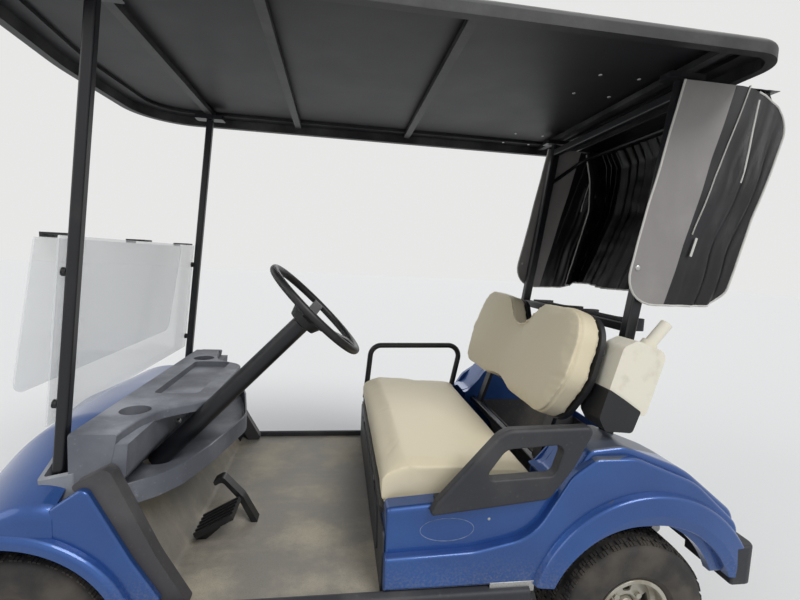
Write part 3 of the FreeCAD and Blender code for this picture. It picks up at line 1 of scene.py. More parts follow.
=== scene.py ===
# %% [markdown]
# # A golf cart in paint, vinyl and dust
#
# The solids of this cart come from a CAD model that is already measured and jointed, so nothing here
# moves them. This lesson gives each of them a finish, and models the things that CAD does badly: the
# stuffed seat, the hanging bag cover with its folds, tyre tread, fasteners, seams and piping.

# %% Load the measured frame
import bpy
import bmesh
import math
from mathutils import Matrix, Vector, noise


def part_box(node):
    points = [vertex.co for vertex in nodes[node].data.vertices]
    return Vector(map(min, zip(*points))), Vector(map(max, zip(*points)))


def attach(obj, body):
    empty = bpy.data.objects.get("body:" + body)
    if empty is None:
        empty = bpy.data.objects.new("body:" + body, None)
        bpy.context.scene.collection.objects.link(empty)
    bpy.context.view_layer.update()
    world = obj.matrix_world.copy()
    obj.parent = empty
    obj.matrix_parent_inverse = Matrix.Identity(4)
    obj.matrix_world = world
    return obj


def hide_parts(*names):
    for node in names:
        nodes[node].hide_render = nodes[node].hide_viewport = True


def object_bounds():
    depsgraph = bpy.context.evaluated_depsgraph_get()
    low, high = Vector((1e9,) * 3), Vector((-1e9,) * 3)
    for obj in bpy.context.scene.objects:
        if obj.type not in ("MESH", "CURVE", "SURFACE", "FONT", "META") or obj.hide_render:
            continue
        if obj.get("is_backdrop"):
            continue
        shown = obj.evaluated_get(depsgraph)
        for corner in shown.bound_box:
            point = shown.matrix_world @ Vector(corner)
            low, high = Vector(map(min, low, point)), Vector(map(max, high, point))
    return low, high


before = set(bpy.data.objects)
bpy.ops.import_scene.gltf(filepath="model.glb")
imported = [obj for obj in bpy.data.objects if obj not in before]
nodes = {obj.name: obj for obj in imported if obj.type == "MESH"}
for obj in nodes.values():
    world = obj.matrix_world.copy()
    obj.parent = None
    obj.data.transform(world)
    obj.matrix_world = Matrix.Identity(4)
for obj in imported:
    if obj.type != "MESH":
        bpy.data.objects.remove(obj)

cad_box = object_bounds()
print("nodes loaded:", len(nodes))


# %% [markdown]
# ## Places that the lesson comes back to
#
# The cart faces +X, the driver sits on the +Y side and +Z is up. Both axles are needed again and again,
# because most sizes on a vehicle are given from an axle, so they are read from the model once.

# %% The two axles
def middle(node):
    """Centre of a CAD node's box."""
    low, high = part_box(node)
    return (low + high) / 2


front_axle = middle("tyre_front_left").x
rear_axle = middle("tyre_rear_left").x
tyre_radius = (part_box("tyre_rear_left")[1].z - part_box("tyre_rear_left")[0].z) / 2
print("wheelbase", round(front_axle - rear_axle, 3), "tyre radius", round(tyre_radius, 3))


# %% [markdown]
# ## Writing shaders as sums
#
# A worn surface is arithmetic: paint, plus dust where it collects, minus shine where hands rub. Wiring
# Math nodes by hand hides that sum, so a small class wraps a socket and lets Python's own operators
# add the nodes. Any other node comes from its one method, which sets the node's settings first.

# %% A socket that does arithmetic
class Wire:
    """One output socket; maths on it adds Math nodes to the same material."""

    def __init__(self, tree, socket=None):
        self.tree = tree
        self.socket = socket

    def node(self, kind, settings=None, inputs=None, out=0):
        made = self.tree.nodes.new("ShaderNode" + kind)
        for key, value in (settings or {}).items():
            if key == "stops":
                ramp = made.color_ramp
                while len(ramp.elements) < len(value):
                    ramp.elements.new(0.5)
                for element, (place, colour) in zip(ramp.elements, value):
                    element.position = place
                    element.color = colour
            else:
                setattr(made, key, value)
        for key, value in (inputs or {}).items():
            if isinstance(value, Wire):
                self.tree.links.new(value.socket, made.inputs[key])
            else:
                made.inputs[key].default_value = value
        return Wire(self.tree, made.outputs[out])

    def maths(self, operation, a, b, clamp=False):
        return self.node("Math", {"operation": operation, "use_clamp": clamp}, {0: a, 1: b})

    def __add__(self, other):
        return self.maths("ADD", self, other)

    __radd__ = __add__

    def __sub__(self, other):
        return self.maths("SUBTRACT", self, other)

    def __rsub__(self, other):
        return self.maths("SUBTRACT", other, self)

    def __mul__(self, other):
        return self.maths("MULTIPLY", self, other)

    __rmul__ = __mul__

    def clamp(self):
        return self.maths("ADD", self, 0.0, clamp=True)

    def step(self, low, high):
        """0 below low, 1 above high, and a smooth rise between them."""
        return self.node("MapRange", {"interpolation_type": "SMOOTHSTEP"},
                         {"Value": self, "From Min": low, "From Max": high})

    def mix(self, a, b):
        """Colour a where this is 0 and colour b where it is 1."""
        return self.node("Mix", {"data_type": "RGBA"}, {0: self, 6: a, 7: b}, out=2)


# %% [markdown]
# ## One start for every finish
#
# Every finish below begins the same way: a Principled shader, the piece's Object coordinates in metres,
# and noise at a real size. A scale of 400 on Object coordinates gives grains about 2.5 mm across,
# whatever the piece, so grain on a small trim and on a large panel matches.

# %% Start a material
def rgb(red, green, blue):
    """A display colour, 0 to 255, as the linear colour that a shader wants."""
    return tuple(((c / 255) / 12.92 if c <= 10 else ((c / 255 + 0.055) / 1.055) ** 2.4)
                 for c in (red, green, blue)) + (1.0,)


def start_finish(name, colour, roughness, metallic=0.0, coat=0.0):
    """Make a material; return its Principled node and a Wire that carries Object coordinates."""
    material = bpy.data.materials.new(name)
    material.use_nodes = True
    shader = material.node_tree.nodes["Principled BSDF"]
    shader.inputs["Base Color"].default_value = colour
    shader.inputs["Roughness"].default_value = roughness
    shader.inputs["Metallic"].default_value = metallic
    shader.inputs["Coat Weight"].default_value = coat
    print("finish:", name)
    return shader, Wire(material.node_tree).node("TexCoord", out=3)


def grain(place, scale, detail=2.0, roughness=0.5):
    """Cloudy noise; detail adds finer clouds on top of it."""
    return place.node("TexNoise", {}, {"Vector": place, "Scale": scale, "Detail": detail,
                                       "Roughness": roughness})


def cells(place, scale, feature="F1"):
    """A pattern of uneven cells, as pebbles or flakes are."""
    return place.node("TexVoronoi", {"feature": feature}, {"Vector": place, "Scale": scale})


def part_of(vector, axis):
    """One number of a place or direction: 0 is along the cart, 1 across it and 2 up."""
    return vector.node("SeparateXYZ", {}, {0: vector}, out=axis)


def height_of(place):
    """The Z of the place, in metres above the ground."""
    return part_of(place, 2)


def upward(place):
    """1 on faces that look straight up, where dust settles, and 0 or less on walls and undersides."""
    return part_of(place.node("NewGeometry", out=1), 2)


def feed(shader, socket, wire):
    """Link a mask or a colour to one socket of the Principled node."""
    wire.tree.links.new(wire.socket, shader.inputs[socket])


def bump(shader, height, strength, distance):
    """Relief of a real depth in metres, from a height that goes from 0 to 1."""
    relief = height.node("Bump", {}, {"Strength": strength, "Distance": distance, "Height": height})
    feed(shader, "Normal", relief)


# %% [markdown]
# ## Metallic blue paint
#
# The moulded body carries a metallic blue with a clear coat. Up close such paint is many tiny flakes that
# catch the light one by one, so cells half a millimetre across vary its brightness. Dust lies on what
# faces up and dirt climbs from the wheels, and both also dull the shine, so the same mask feeds the
# colour, the roughness and the coat. The liner's grey flange on top of each rear side is masked by place:
# it lies on top, above a set height, behind one line across the cart and outside one slanting line.

# %% Body paint
shader, place = start_finish("paint_blue", rgb(32, 58, 116), 0.36, metallic=0.45, coat=0.6)
flakes = cells(place, 1600.0)
broad = grain(place, 3.2, 4.0)
speck = grain(place, 150.0, 3.0)
settled = (upward(place).step(0.55, 1.0) * broad.step(0.35, 0.75) * 0.22).clamp()
splash = ((1.0 - height_of(place).step(0.26, 0.46)) * speck.step(0.35, 0.8) * 0.75).clamp()
dust = (settled + splash).clamp()
deep = flakes.mix(rgb(18, 46, 100), rgb(60, 112, 188))
shade = broad.step(0.3, 0.8).mix(rgb(24, 56, 114), rgb(42, 88, 156))
blue = place.node("Mix", {"data_type": "RGBA"}, {0: 0.5, 6: deep, 7: shade}, out=2)

flange_front = -0.620
flange_height = 0.56
slant_x, slant_y, slant_slope = 0.752, 0.532, 1.9
off_centre = place.node("Math", {"operation": "ABSOLUTE"}, {0: part_of(place, 1)})
forward = part_of(place, 0)
on_top = upward(place).step(0.7, 0.75) * height_of(place).step(flange_height, flange_height + 0.01)
behind_line = 1.0 - forward.step(flange_front - 0.002, flange_front)
outside_slant = (forward + slant_x + (slant_y - off_centre) * slant_slope).step(0.0, 0.002)
flange = on_top * behind_line * outside_slant
flange_grey = broad.step(0.3, 0.7).mix(rgb(66, 72, 86), rgb(104, 112, 126))
feed(shader, "Base Color", dust.mix(flange.mix(blue, flange_grey), rgb(120, 118, 112)))
feed(shader, "Roughness", (0.34 + dust * 0.45 + speck * 0.06).clamp())
feed(shader, "Coat Weight", (0.6 - dust * 0.6 - flange * 0.6).clamp())
feed(shader, "Metallic", (0.5 - dust * 0.5 - flange * 0.5).clamp())
bump(shader, grain(place, 60.0, 1.0), 0.05, 0.001)


# %% [markdown]
# ## Moulded plastic with a leather-like grain
#
# The dash, sills, bumpers and trims are one family: unpainted plastic whose mould was etched so that
# scratches don't show. Two cell patterns of different size give the pebbled grain. Years of sun leave
# it chalky where it faces up, so the same function makes each part with its own colour and dust. On the
# dash that pale colour on faces that look up is also painted sunlight on its ledge.

# %% Textured plastics
def textured_plastic(name, colour, chalk_and_lit, pebble, dusty, roughness=0.62):
    """Pebbled plastic; pebble is the scale of its grain, and dusty says how much it has chalked, which on
    the dash also sets its painted sunlight.
    """
    shader, place = start_finish(name, colour, roughness)
    broad = grain(place, 5.0, 5.0)
    fine = grain(place, 90.0, 3.0)
    # Chalk on faces that look up; on the dash it is also painted sunlight on the ledge.
    worn = (broad.step(0.42, 0.75) * dusty * (0.35 + upward(place).step(0.1, 0.9) * 0.65)).clamp()
    scuffs = fine.step(0.62, 0.8) * 0.35 * dusty
    feed(shader, "Base Color", (worn + scuffs).clamp().mix(colour, chalk_and_lit))
    feed(shader, "Roughness", (roughness + worn * 0.25 - fine * 0.12).clamp())
    bump(shader, cells(place, pebble) * 0.7 + cells(place, pebble * 2.3) * 0.3, 0.45, 0.0006)


# On the dash the pale colour of faces that look up is chalk and painted sunlight on its ledge.
textured_plastic("plastic_dash", rgb(92, 95, 103), rgb(166, 169, 176), 480.0, 0.85)
textured_plastic("plastic_sill", rgb(62, 60, 62), rgb(132, 130, 128), 520.0, 0.6)
textured_plastic("plastic_trim", rgb(40, 41, 46), rgb(110, 108, 106), 520.0, 0.55)
textured_plastic("plastic_black", rgb(22, 23, 26), rgb(80, 80, 82), 600.0, 0.4, 0.5)
textured_plastic("plastic_socket", rgb(128, 132, 140), rgb(182, 182, 180), 500.0, 0.7)
textured_plastic("plastic_well", rgb(46, 46, 50), rgb(134, 126, 112), 450.0, 0.9, 0.7)


# %% [markdown]
# ## Powder-coated steel
#
# The roof posts, handrail and brackets are steel tube with black powder coat. It looks smooth from a
# step away and like orange peel up close, and it is rubbed shinier where hands and bags pass.

# %% Coated steel
shader, place = start_finish("coated_steel", rgb(14, 15, 20), 0.34)
peel = grain(place, 700.0, 1.0)
rubbed = grain(place, 9.0, 4.0)
chips = grain(place, 260.0, 2.0).step(0.72, 0.76) * rubbed.step(0.5, 0.7)
bare = (chips * 0.6 + rubbed.step(0.55, 0.85) * 0.12).clamp()
feed(shader, "Base Color", bare.mix(rgb(14, 15, 20), rgb(96, 92, 88)))
feed(shader, "Roughness", (0.28 + rubbed * 0.22).clamp())
bump(shader, peel, 0.25, 0.0004)


# %% [markdown]
# ## Under the cart
#
# Rails, axles and springs are painted black once and then see years of wet grass. Dirt gathers in clumps
# and on everything flat. The same worn metal works for each, with more or less dirt and metal showing.
# Zinc is for small fasteners, which tarnish in spots.

# %% Running gear
def dirty_metal(name, colour, dirt, metallic, amount, roughness=0.5):
    """Metal with dirt in clumps; amount says how much of it the clumps hide."""
    shader, place = start_finish(name, colour, roughness, metallic)
    clumps = grain(place, 14.0, 6.0, 0.65)
    crumbs = grain(place, 220.0, 3.0)
    lies = (clumps.step(0.4, 0.62) * amount + upward(place).step(0.4, 1.0) * 0.35 * crumbs).clamp()
    feed(shader, "Base Color", lies.mix(colour, dirt))
    feed(shader, "Roughness", (roughness + lies * 0.4).clamp())
    feed(shader, "Metallic", (metallic - lies * metallic).clamp())
    bump(shader, clumps * 0.6 + crumbs * 0.4, 0.35, 0.0015)


dirty_metal("gear_black", rgb(24, 24, 26), rgb(96, 84, 66), 0.2, 0.55)
dirty_metal("spring_steel", rgb(70, 70, 72), rgb(104, 90, 70), 0.7, 0.4, 0.4)
dirty_metal("engine_cast", rgb(104, 104, 106), rgb(70, 60, 46), 0.6, 0.45)

shader, place = start_finish("zinc", rgb(176, 176, 174), 0.34, metallic=1.0)
tarnish = grain(place, 320.0, 3.0)
feed(shader, "Base Color", tarnish.step(0.5, 0.8).mix(rgb(186, 186, 184), rgb(122, 116, 108)))
feed(shader, "Roughness", (0.26 + tarnish * 0.3).clamp())


# %% [markdown]
# ## Floor mat
#
# The floor is a rubber mat that feet have polished grey and brown. Mud dries in blotches, so three noises
# of different size are mixed: the patch, the edge of the patch and the grit.

# %% Mat rubber
shader, place = start_finish("mat_rubber", rgb(86, 84, 80), 0.75)
patches = grain(place, 4.5, 6.0, 0.6)
grit = grain(place, 340.0, 2.0)
streaks = grain(place.node("Mapping", {}, {0: place, 3: (3.0, 26.0, 3.0)}), 1.0, 4.0)
mud = (patches.step(0.38, 0.68) * 0.75 + streaks.step(0.5, 0.9) * 0.25).clamp()
tone = mud.mix(rgb(128, 124, 116), rgb(184, 174, 154))
feed(shader, "Base Color", (grit.step(0.45, 0.8) * 0.3).mix(tone, rgb(84, 78, 70)))
feed(shader, "Roughness", (0.62 + mud * 0.25).clamp())
bump(shader, grit * 0.4 + cells(place, 300.0) * 0.6, 0.4, 0.0008)


# %% [markdown]
# ## Seat vinyl
#
# The seat is covered in beige vinyl, embossed like leather: small uneven pebbles with valleys between
# them. Distance to a cell's edge gives those valleys. It is yellower and shinier where people slide, and
# faces that don't look up are darker and browner in patches.

# %% Vinyl
shader, place = start_finish("seat_vinyl", rgb(206, 190, 150), 0.42)
mottle = grain(place, 90.0, 2.0)
skin_cells = cells(place, 420.0, "DISTANCE_TO_EDGE")
worn = grain(place, 7.0, 4.0)
sides = 1.0 - upward(place).step(-0.2, 0.55)
# Faces that don't look up go darker and browner in patches.
side_darkening = (sides * grain(place, 16.0, 5.0).step(0.45, 0.75) * 0.3).clamp()
warm = worn.step(0.35, 0.75).mix(rgb(240, 212, 142), rgb(226, 193, 120))
feed(shader, "Base Color", side_darkening.mix(warm, rgb(138, 122, 92)))
feed(shader, "Roughness", (0.36 + worn * 0.14 + mottle * 0.08).clamp())
bump(shader, skin_cells.step(0.0, 0.12) * 0.8 + mottle * 0.2, 0.3, 0.0005)


# %% [markdown]
# ## Tyre rubber and wheel paint
#
# Rubber is never black outdoors: the side walls go brown-grey and only the creases stay dark. The steel
# wheels are painted silver over a coarse surface, with brown brake dust round the windows.

# %% Rubber and wheel paint
shader, place = start_finish("tyre_rubber", rgb(34, 33, 32), 0.8)
blotch = grain(place, 12.0, 5.0)
crumb = grain(place, 420.0, 2.0)
dusting = (blotch.step(0.3, 0.75) * 0.55 + crumb.step(0.5, 0.9) * 0.2).clamp()
feed(shader, "Base Color", dusting.mix(rgb(34, 33, 33), rgb(98, 90, 80)))
feed(shader, "Roughness", (0.72 + dusting * 0.2).clamp())
bump(shader, crumb, 0.3, 0.0006)

shader, place = start_finish("wheel_silver", rgb(168, 164, 152), 0.4, metallic=0.55)
brake = grain(place, 18.0, 5.0).step(0.42, 0.72) * 0.6
feed(shader, "Base Color", brake.mix(rgb(182, 178, 166), rgb(112, 96, 72)))
feed(shader, "Roughness", (0.34 + brake * 0.4).clamp())
feed(shader, "Metallic", (0.6 - brake * 0.6).clamp())
bump(shader, grain(place, 500.0, 1.0), 0.15, 0.0004)


# %% [markdown]
# ## Clear sheet
#
# The windscreen is two sheets of clear plastic, scratched by years of wiping. Wipe marks are long and
# thin, so noise is stretched with a Mapping node. Haze is where the sheet hides more of what is behind
# it, so it goes into Alpha as well as Roughness.

# %% Clear plastic
shader, place = start_finish("clear_sheet", rgb(226, 230, 232), 0.12)
smear = grain(place, 6.0, 5.0)
wiped = grain(place.node("Mapping", {}, {0: place, 2: (0.5, 0.3, 0.0), 3: (14.0, 6.0, 60.0)}), 3.0, 3.0)
haze = (smear.step(0.4, 0.85) * 0.6 + wiped.step(0.55, 0.85) * 0.4).clamp()
feed(shader, "Alpha", (0.07 + haze * 0.2).clamp())
feed(shader, "Roughness", (0.08 + haze * 0.3).clamp())


# %% [markdown]
# ## Coated cloth and its white edge
#
# The cover is woven cloth with a vinyl coat, dull grey on the front of each side; behind that the same
# cloth is glossy and painted black as painted shade. It shows a fine weave and creases rubbed pale, and its
# edges are bound with a pale tape.

# %% Cloth finishes
def coated_cloth(name, colour, rubbed_colour, threads=1400.0, shine=0.48, fuzz=0.25):
    """Woven cloth with so many threads a metre; a low shine value is glossy, as a roughness is."""
    shader, place = start_finish(name, colour, 0.55)
    threads_per_scale = 6.0
    shader.inputs["Sheen Weight"].default_value = fuzz
    folds = grain(place, 8.0, 5.0)
    weft, warp = (place.node("TexWave", {"wave_type": "BANDS", "bands_direction": axis},
                             {"Vector": place, "Scale": threads / threads_per_scale, "Distortion": 0.4})
                  for axis in "ZX")
    rubbed = folds.step(0.45, 0.8) * 0.45
    feed(shader, "Base Color", rubbed.mix(colour, rubbed_colour))
    feed(shader, "Roughness", (shine + folds * 0.25).clamp())
    bump(shader, weft * 0.25 + warp * 0.25 + folds * 0.5, 0.25, 0.0012)


# Painted shade: this black is the cover's cloth painted as it looks in shadow, behind each curtain's seam,
# on the flap and on the top.
coated_cloth("cloth_painted_shade", rgb(14, 14, 17), rgb(40, 40, 45), shine=0.2, fuzz=0.0)
coated_cloth("curtain_cloth", rgb(134, 130, 128), rgb(158, 154, 150))
coated_cloth("edge_tape", rgb(206, 204, 198), rgb(160, 156, 148))
coated_cloth("strap_web", rgb(24, 24, 26), rgb(60, 60, 62), 900.0)


# %% [markdown]
# ## Roof, bottle and grips
#
# The roof is black plastic. Pale dust and bird-washed streaks stay on its top, a faint pale band along its
# rim is a painted highlight for the glare on its edge, and the underside stays dark with a soft shine. The
# bottle is ivory plastic that lets a little light in. The grips are rubber that hands keep clean, and the
# number's ring is pale blue enamel, faded in patches.

# %% Roof and small plastics
shader, place = start_finish("roof_plastic", rgb(12, 12, 16), 0.46)
washed = grain(place, 6.0, 6.0, 0.6)
top_side = upward(place).step(0.2, 0.8)
# Painted highlight: a faint pale band round the rim, broken by streaks, stands for the glare on its edge.
rim_painted_highlight = height_of(place).step(1.79, 1.80) * (1.0 - height_of(place).step(1.82, 1.845))
pale_top = top_side * (0.35 + washed.step(0.3, 0.7) * 0.5)
# Pale is dust on the top and the painted highlight along the rim.
pale = (pale_top + rim_painted_highlight * washed.step(0.35, 0.8) * 0.15).clamp()
feed(shader, "Base Color", pale.mix(rgb(12, 12, 17), rgb(168, 168, 164)))
feed(shader, "Roughness", (0.42 + pale * 0.4 + washed * 0.15).clamp())
bump(shader, grain(place, 240.0, 2.0), 0.2, 0.0006)

shader, place = start_finish("bottle_plastic", rgb(226, 220, 200), 0.38)
shader.inputs["Subsurface Weight"].default_value = 0.15
shader.inputs["Subsurface Scale"].default_value = 0.01
stain = grain(place, 20.0, 5.0)
feed(shader, "Base Color", (stain.step(0.5, 0.8) * 0.4).mix(rgb(232, 227, 210), rgb(176, 166, 140)))
feed(shader, "Roughness", (0.3 + stain * 0.25).clamp())

shader, place = start_finish("grip_rubber", rgb(20, 20, 22), 0.42)
handled = grain(place, 26.0, 3.0)
feed(shader, "Base Color", (handled.step(0.5, 0.85) * 0.3).mix(rgb(20, 20, 22), rgb(74, 72, 70)))
feed(shader, "Roughness", (0.34 + handled * 0.22).clamp())
bump(shader, cells(place, 900.0), 0.25, 0.0004)

shader, place = start_finish("ring_enamel", rgb(104, 118, 152), 0.45)
faded = grain(place, 60.0, 4.0)
feed(shader, "Base Color", faded.step(0.35, 0.75).mix(rgb(116, 130, 162), rgb(70, 84, 124)))
feed(shader, "Roughness", (0.4 + faded * 0.2).clamp())


# %% [markdown]
# ## Dress the CAD nodes
#
# A CAD node keeps its mesh and only changes its material slot. One table says which finish goes on which
# node, and the last line prints the nodes that it leaves out, which should be none.

# %% Which finish goes where
finish_of = {
    "tyre_rubber": ["tyre_front_left", "tyre_front_right", "tyre_rear_left", "tyre_rear_right"],
    "wheel_silver": ["rim_front_left", "rim_front_right", "rim_rear_left", "rim_rear_right"],
    "gear_black": ["knuckle_left", "knuckle_right", "front_axle_beam", "frame_rails", "rear_axle",
                   "steering_rack"],
    "spring_steel": ["front_springs", "rear_springs", "tie_rods"],
    "engine_cast": ["engine_block"],
    "mat_rubber": ["floor_pan"],
    "plastic_trim": ["rockers", "front_bumper", "rear_bumper", "seat_apron", "hip_restraint", "bag_rack"],
    "plastic_dash": ["dash"],
    "plastic_sill": ["door_trims"],
    "plastic_well": ["bag_well"],
    "plastic_black": ["seat_pan", "seat_back_shell", "bottle_holder"],
    "plastic_socket": ["strut_sockets"],
    "paint_blue": ["front_cowl", "rear_body"],
    "coated_steel": ["front_posts", "rear_frame", "roof_rails", "seat_brackets", "hold_bar",
                     "steering_column", "cover_bow"],
    "grip_rubber": ["steering_wheel", "pedals", "windscreen_fittings"],
    "clear_sheet": ["windscreen_lower", "windscreen_upper"],
    "roof_plastic": ["roof"],
    "bottle_plastic": ["sand_bottle"],
    "seat_vinyl": ["seat_cushion", "seat_back"],
    "cloth_painted_shade": ["cover_sides", "cover_bundle"],
}
for finish, names in finish_of.items():
    for name in names:
        nodes[name].data.materials.clear()
        nodes[name].data.materials.append(bpy.data.materials[finish])
dressed = {name for names in finish_of.values() for name in names}
print("undressed nodes:", sorted(set(nodes) - dressed))


# %% [markdown]
# ## Tools for new pieces
#
# Blender's operators act on whatever is selected, so each one starts from a clean selection. A finished
# piece gets the same last steps: its place goes into its mesh, its normals point outwards, edges sharper
# than a set angle stay crisp, and it rides on the part of the cart that carries it.

# %% Select, add and finish
def clear_selection():
    if bpy.context.object and bpy.context.object.mode != "OBJECT":
        bpy.ops.object.mode_set(mode="OBJECT")
    bpy.ops.object.select_all(action="DESELECT")


def select_only(piece):
    clear_selection()
    piece.select_set(True)
    bpy.context.view_layer.objects.active = piece


def named(name):
    """Give the piece that an operator has just added its name."""
    piece = bpy.context.object
    piece.name = name
    piece.data.name = name
    return piece


def apply_all(piece):
    """Make the piece's modifiers part of its mesh."""
    select_only(piece)
    for modifier in list(piece.modifiers):
        bpy.ops.object.modifier_apply(modifier=modifier.name)


def finish_piece(piece, finish, body="chassis", crisp=35.0):
    """Last steps of every new piece: edges sharper than crisp degrees stay crisp."""
    apply_all(piece)
    bpy.ops.object.transform_apply(location=True, rotation=True, scale=True)
    bpy.ops.object.mode_set(mode="EDIT")
    bpy.ops.mesh.select_all(action="SELECT")
    bpy.ops.mesh.remove_doubles(threshold=0.00002)
    bpy.ops.mesh.normals_make_consistent(inside=False)
    bpy.ops.object.mode_set(mode="OBJECT")
    bpy.ops.object.shade_smooth_by_angle(angle=math.radians(crisp))
    piece.data.materials.clear()
    piece.data.materials.append(bpy.data.materials[finish])
    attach(piece, body)
    return piece


def bevel_edges(piece, width, limit=40.0):
    """Round the edges that turn by more than limit degrees."""
    bevel = piece.modifiers.new("Bevel", "BEVEL")
    bevel.width = width
    bevel.segments = 3
    bevel.limit_method = "ANGLE"
    bevel.angle_limit = math.radians(limit)
    apply_all(piece)


def block(name, low, high, round_over=0.0):
    """A box between two corners, its edges rounded over."""
    clear_selection()
    centre = [(a + b) / 2 for a, b in zip(low, high)]
    bpy.ops.mesh.primitive_cube_add(size=1.0, location=centre)
    piece = named(name)
    piece.scale = [b - a for a, b in zip(low, high)]
    bpy.ops.object.transform_apply(location=True, rotation=True, scale=True)
    if round_over:
        bevel_edges(piece, round_over)
    return piece


def tube_along(name, points, radius, closed=False, sides=10):
    """A round tube on a smooth line through the points, as piping and welts are."""
    line = bpy.data.curves.new(name, "CURVE")
    line.dimensions = "3D"
    line.bevel_depth = radius
    line.bevel_resolution = max(1, sides // 4)
    line.use_fill_caps = True
    spline = line.splines.new("NURBS")
    spline.points.add(len(points) - 1)
    for control, place in zip(spline.points, points):
        control.co = (*place, 1.0)
    spline.use_cyclic_u = closed
    spline.use_endpoint_u = not closed
    spline.order_u = 3
    piece = bpy.data.objects.new(name, line)
    bpy.context.collection.objects.link(piece)
    select_only(piece)
    bpy.ops.object.convert(target="MESH")
    return bpy.context.object


def copy_of_node(node, name):
    """An own, merged copy of a CAD node's mesh, to be made soft."""
    piece = bpy.data.objects.new(name, nodes[node].data.copy())
    bpy.context.collection.objects.link(piece)
    select_only(piece)
    bpy.ops.object.mode_set(mode="EDIT")
    bpy.ops.mesh.select_all(action="SELECT")
    bpy.ops.mesh.remove_doubles(threshold=0.00001)
    bpy.ops.object.mode_set(mode="OBJECT")
    return piece


# %% [markdown]
# ## Stuffing a cushion
#
# A cushion is foam that pushes against its cover, so its faces crown and its edges round over. Cloth
# simulation gives that for free: the CAD form is turned into small even faces, shrunk a little, and
# blown up with pressure while gravity is off. A cap on how far a point may move keeps the measured size.
# Twenty frames are enough for the pressure and the cloth's pull to settle.

# %% Blow up a closed form
cloth_frames = 20
shrink = 0.004


def stuff(piece, pressure, cap, voxel, soften):
    """Blow up a piece with faces of the size voxel, softened so many times."""
    select_only(piece)
    even = piece.modifiers.new("Even faces", "REMESH")
    even.mode = "VOXEL"
    even.voxel_size = voxel
    round_edges = piece.modifiers.new("Round edges", "SMOOTH")
    round_edges.factor = 0.5
    round_edges.iterations = soften
    smaller = piece.modifiers.new("Smaller", "DISPLACE")
    smaller.mid_level = 0.0
    smaller.strength = -shrink
    apply_all(piece)
    before = [v.co.copy() for v in piece.data.vertices]
    cloth = piece.modifiers.new("Cloth", "CLOTH")
    cloth.settings.use_pressure = True
    cloth.settings.uniform_pressure_force = pressure
    cloth.settings.effector_weights.gravity = 0.0
    cloth.settings.tension_stiffness = 20.0
    cloth.settings.bending_stiffness = 1.0
    for number in range(1, cloth_frames + 1):
        bpy.context.scene.frame_set(number)
    bpy.ops.object.modifier_apply(modifier="Cloth")
    bpy.context.scene.frame_set(1)
    moved = 0.0
    for vertex, start in zip(piece.data.vertices, before):
        shift = vertex.co - start
        if shift.length > cap:
            vertex.co = start + shift.normalized() * cap
        moved = max(moved, min(shift.length, cap))
    print(piece.name, "stuffed, largest move", round(moved * 1000, 1), "mm")


# %% [markdown]
# ## The seat cushion
#
# The bench is one block of foam under stretched vinyl. Its top is crowned, its front is a broad roll under
# the knees, and the vinyl is pulled round and stapled below, which leaves one sewn line near the base.
# The form is blown up first. Its crown is added by moving vertices, and the sewn line is pressed in last,
# because small even faces would have swallowed it.

# %% Sewn lines and a finer mesh
def press_line(piece, how_far, depth, width):
    """Sink the surface along the line where how_far(point, normal) is 0."""
    piece.data.update()
    sunk = [(v, v.normal.copy(), how_far(v.co, v.normal)) for v in piece.data.vertices]
    for vertex, normal, distance in sunk:
        vertex.co -= normal * depth * math.exp(-(distance / width) ** 2)


def once_finer(piece):
    """Divide every face in four and smooth the result."""
    finer = piece.modifiers.new("Finer", "SUBSURF")
    finer.levels = 1
    finer.render_levels = 1
    apply_all(piece)


def wander(point, scale, seed):
    """Slow noise from -1 to 1 that is the same each run; seed moves it to another part of the noise."""
    return noise.noise(Vector(point) * scale + Vector((seed, seed * 2.3, seed * 0.7)))


def dent(vertex, normal, scale, seed):
    """The slight unevenness that sitting leaves in vinyl."""
    vertex.co += normal * 0.0012 * wander(vertex.co, scale, seed)


# %% Cushion
low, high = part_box("seat_cushion")
cushion = copy_of_node("seat_cushion", "stuffed_cushion")
stuff(cushion, pressure=4.0, cap=0.010, voxel=0.009, soften=5)
once_finer(cushion)
cushion.data.update()
centre = (low + high) / 2
half = (high - low) / 2
crown = 0.010
lifted = [(v, v.normal.copy()) for v in cushion.data.vertices]
for vertex, normal in lifted:
    across = (vertex.co.y - centre.y) / half.y
    along = (vertex.co.x - centre.x) / half.x
    swell = max(0.0, 1.0 - across ** 4) * max(0.0, 1.0 - along ** 2)
    vertex.co.z += crown * swell * max(0.0, normal.z)
    dent(vertex, normal, 14.0, 4.0)
hem_above_base = 0.017
hem_height = low.z + hem_above_base
press_line(cushion, lambda p, n: (p.z - hem_height) if n.z < 0.8 else 1.0, depth=0.005, width=0.004)
for vertex in cushion.data.vertices:
    vertex.co.z = max(vertex.co.z, low.z)
finish_piece(cushion, "seat_vinyl", "seat_lid", crisp=50.0)
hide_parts("seat_cushion")
print("cushion faces:", len(cushion.data.polygons))


# %% [markdown]
# ## The seat back
#
# The back is one pad with two rests and a saddle between them. Its front panel is sewn to a wide band that
# runs round its side, so there is a crease just behind the front edge and the band bulges a little. The
# same steps as for the cushion, with distances measured in the back's own leaning frame.

# %% Seat back
back_lean = math.radians(17.4)
back_foot = Vector((rear_axle + 0.250, 0.0, 0.748))
back_up = Vector((-math.sin(back_lean), 0.0, math.cos(back_lean)))
back_in = Vector((-math.cos(back_lean), 0.0, -math.sin(back_lean)))
back_height = 0.372
back_thickness = 0.084
seam_depth = 0.017


def depth_in_back(point):
    """How far a point is behind the front panel."""
    return (point - back_foot).dot(back_in)


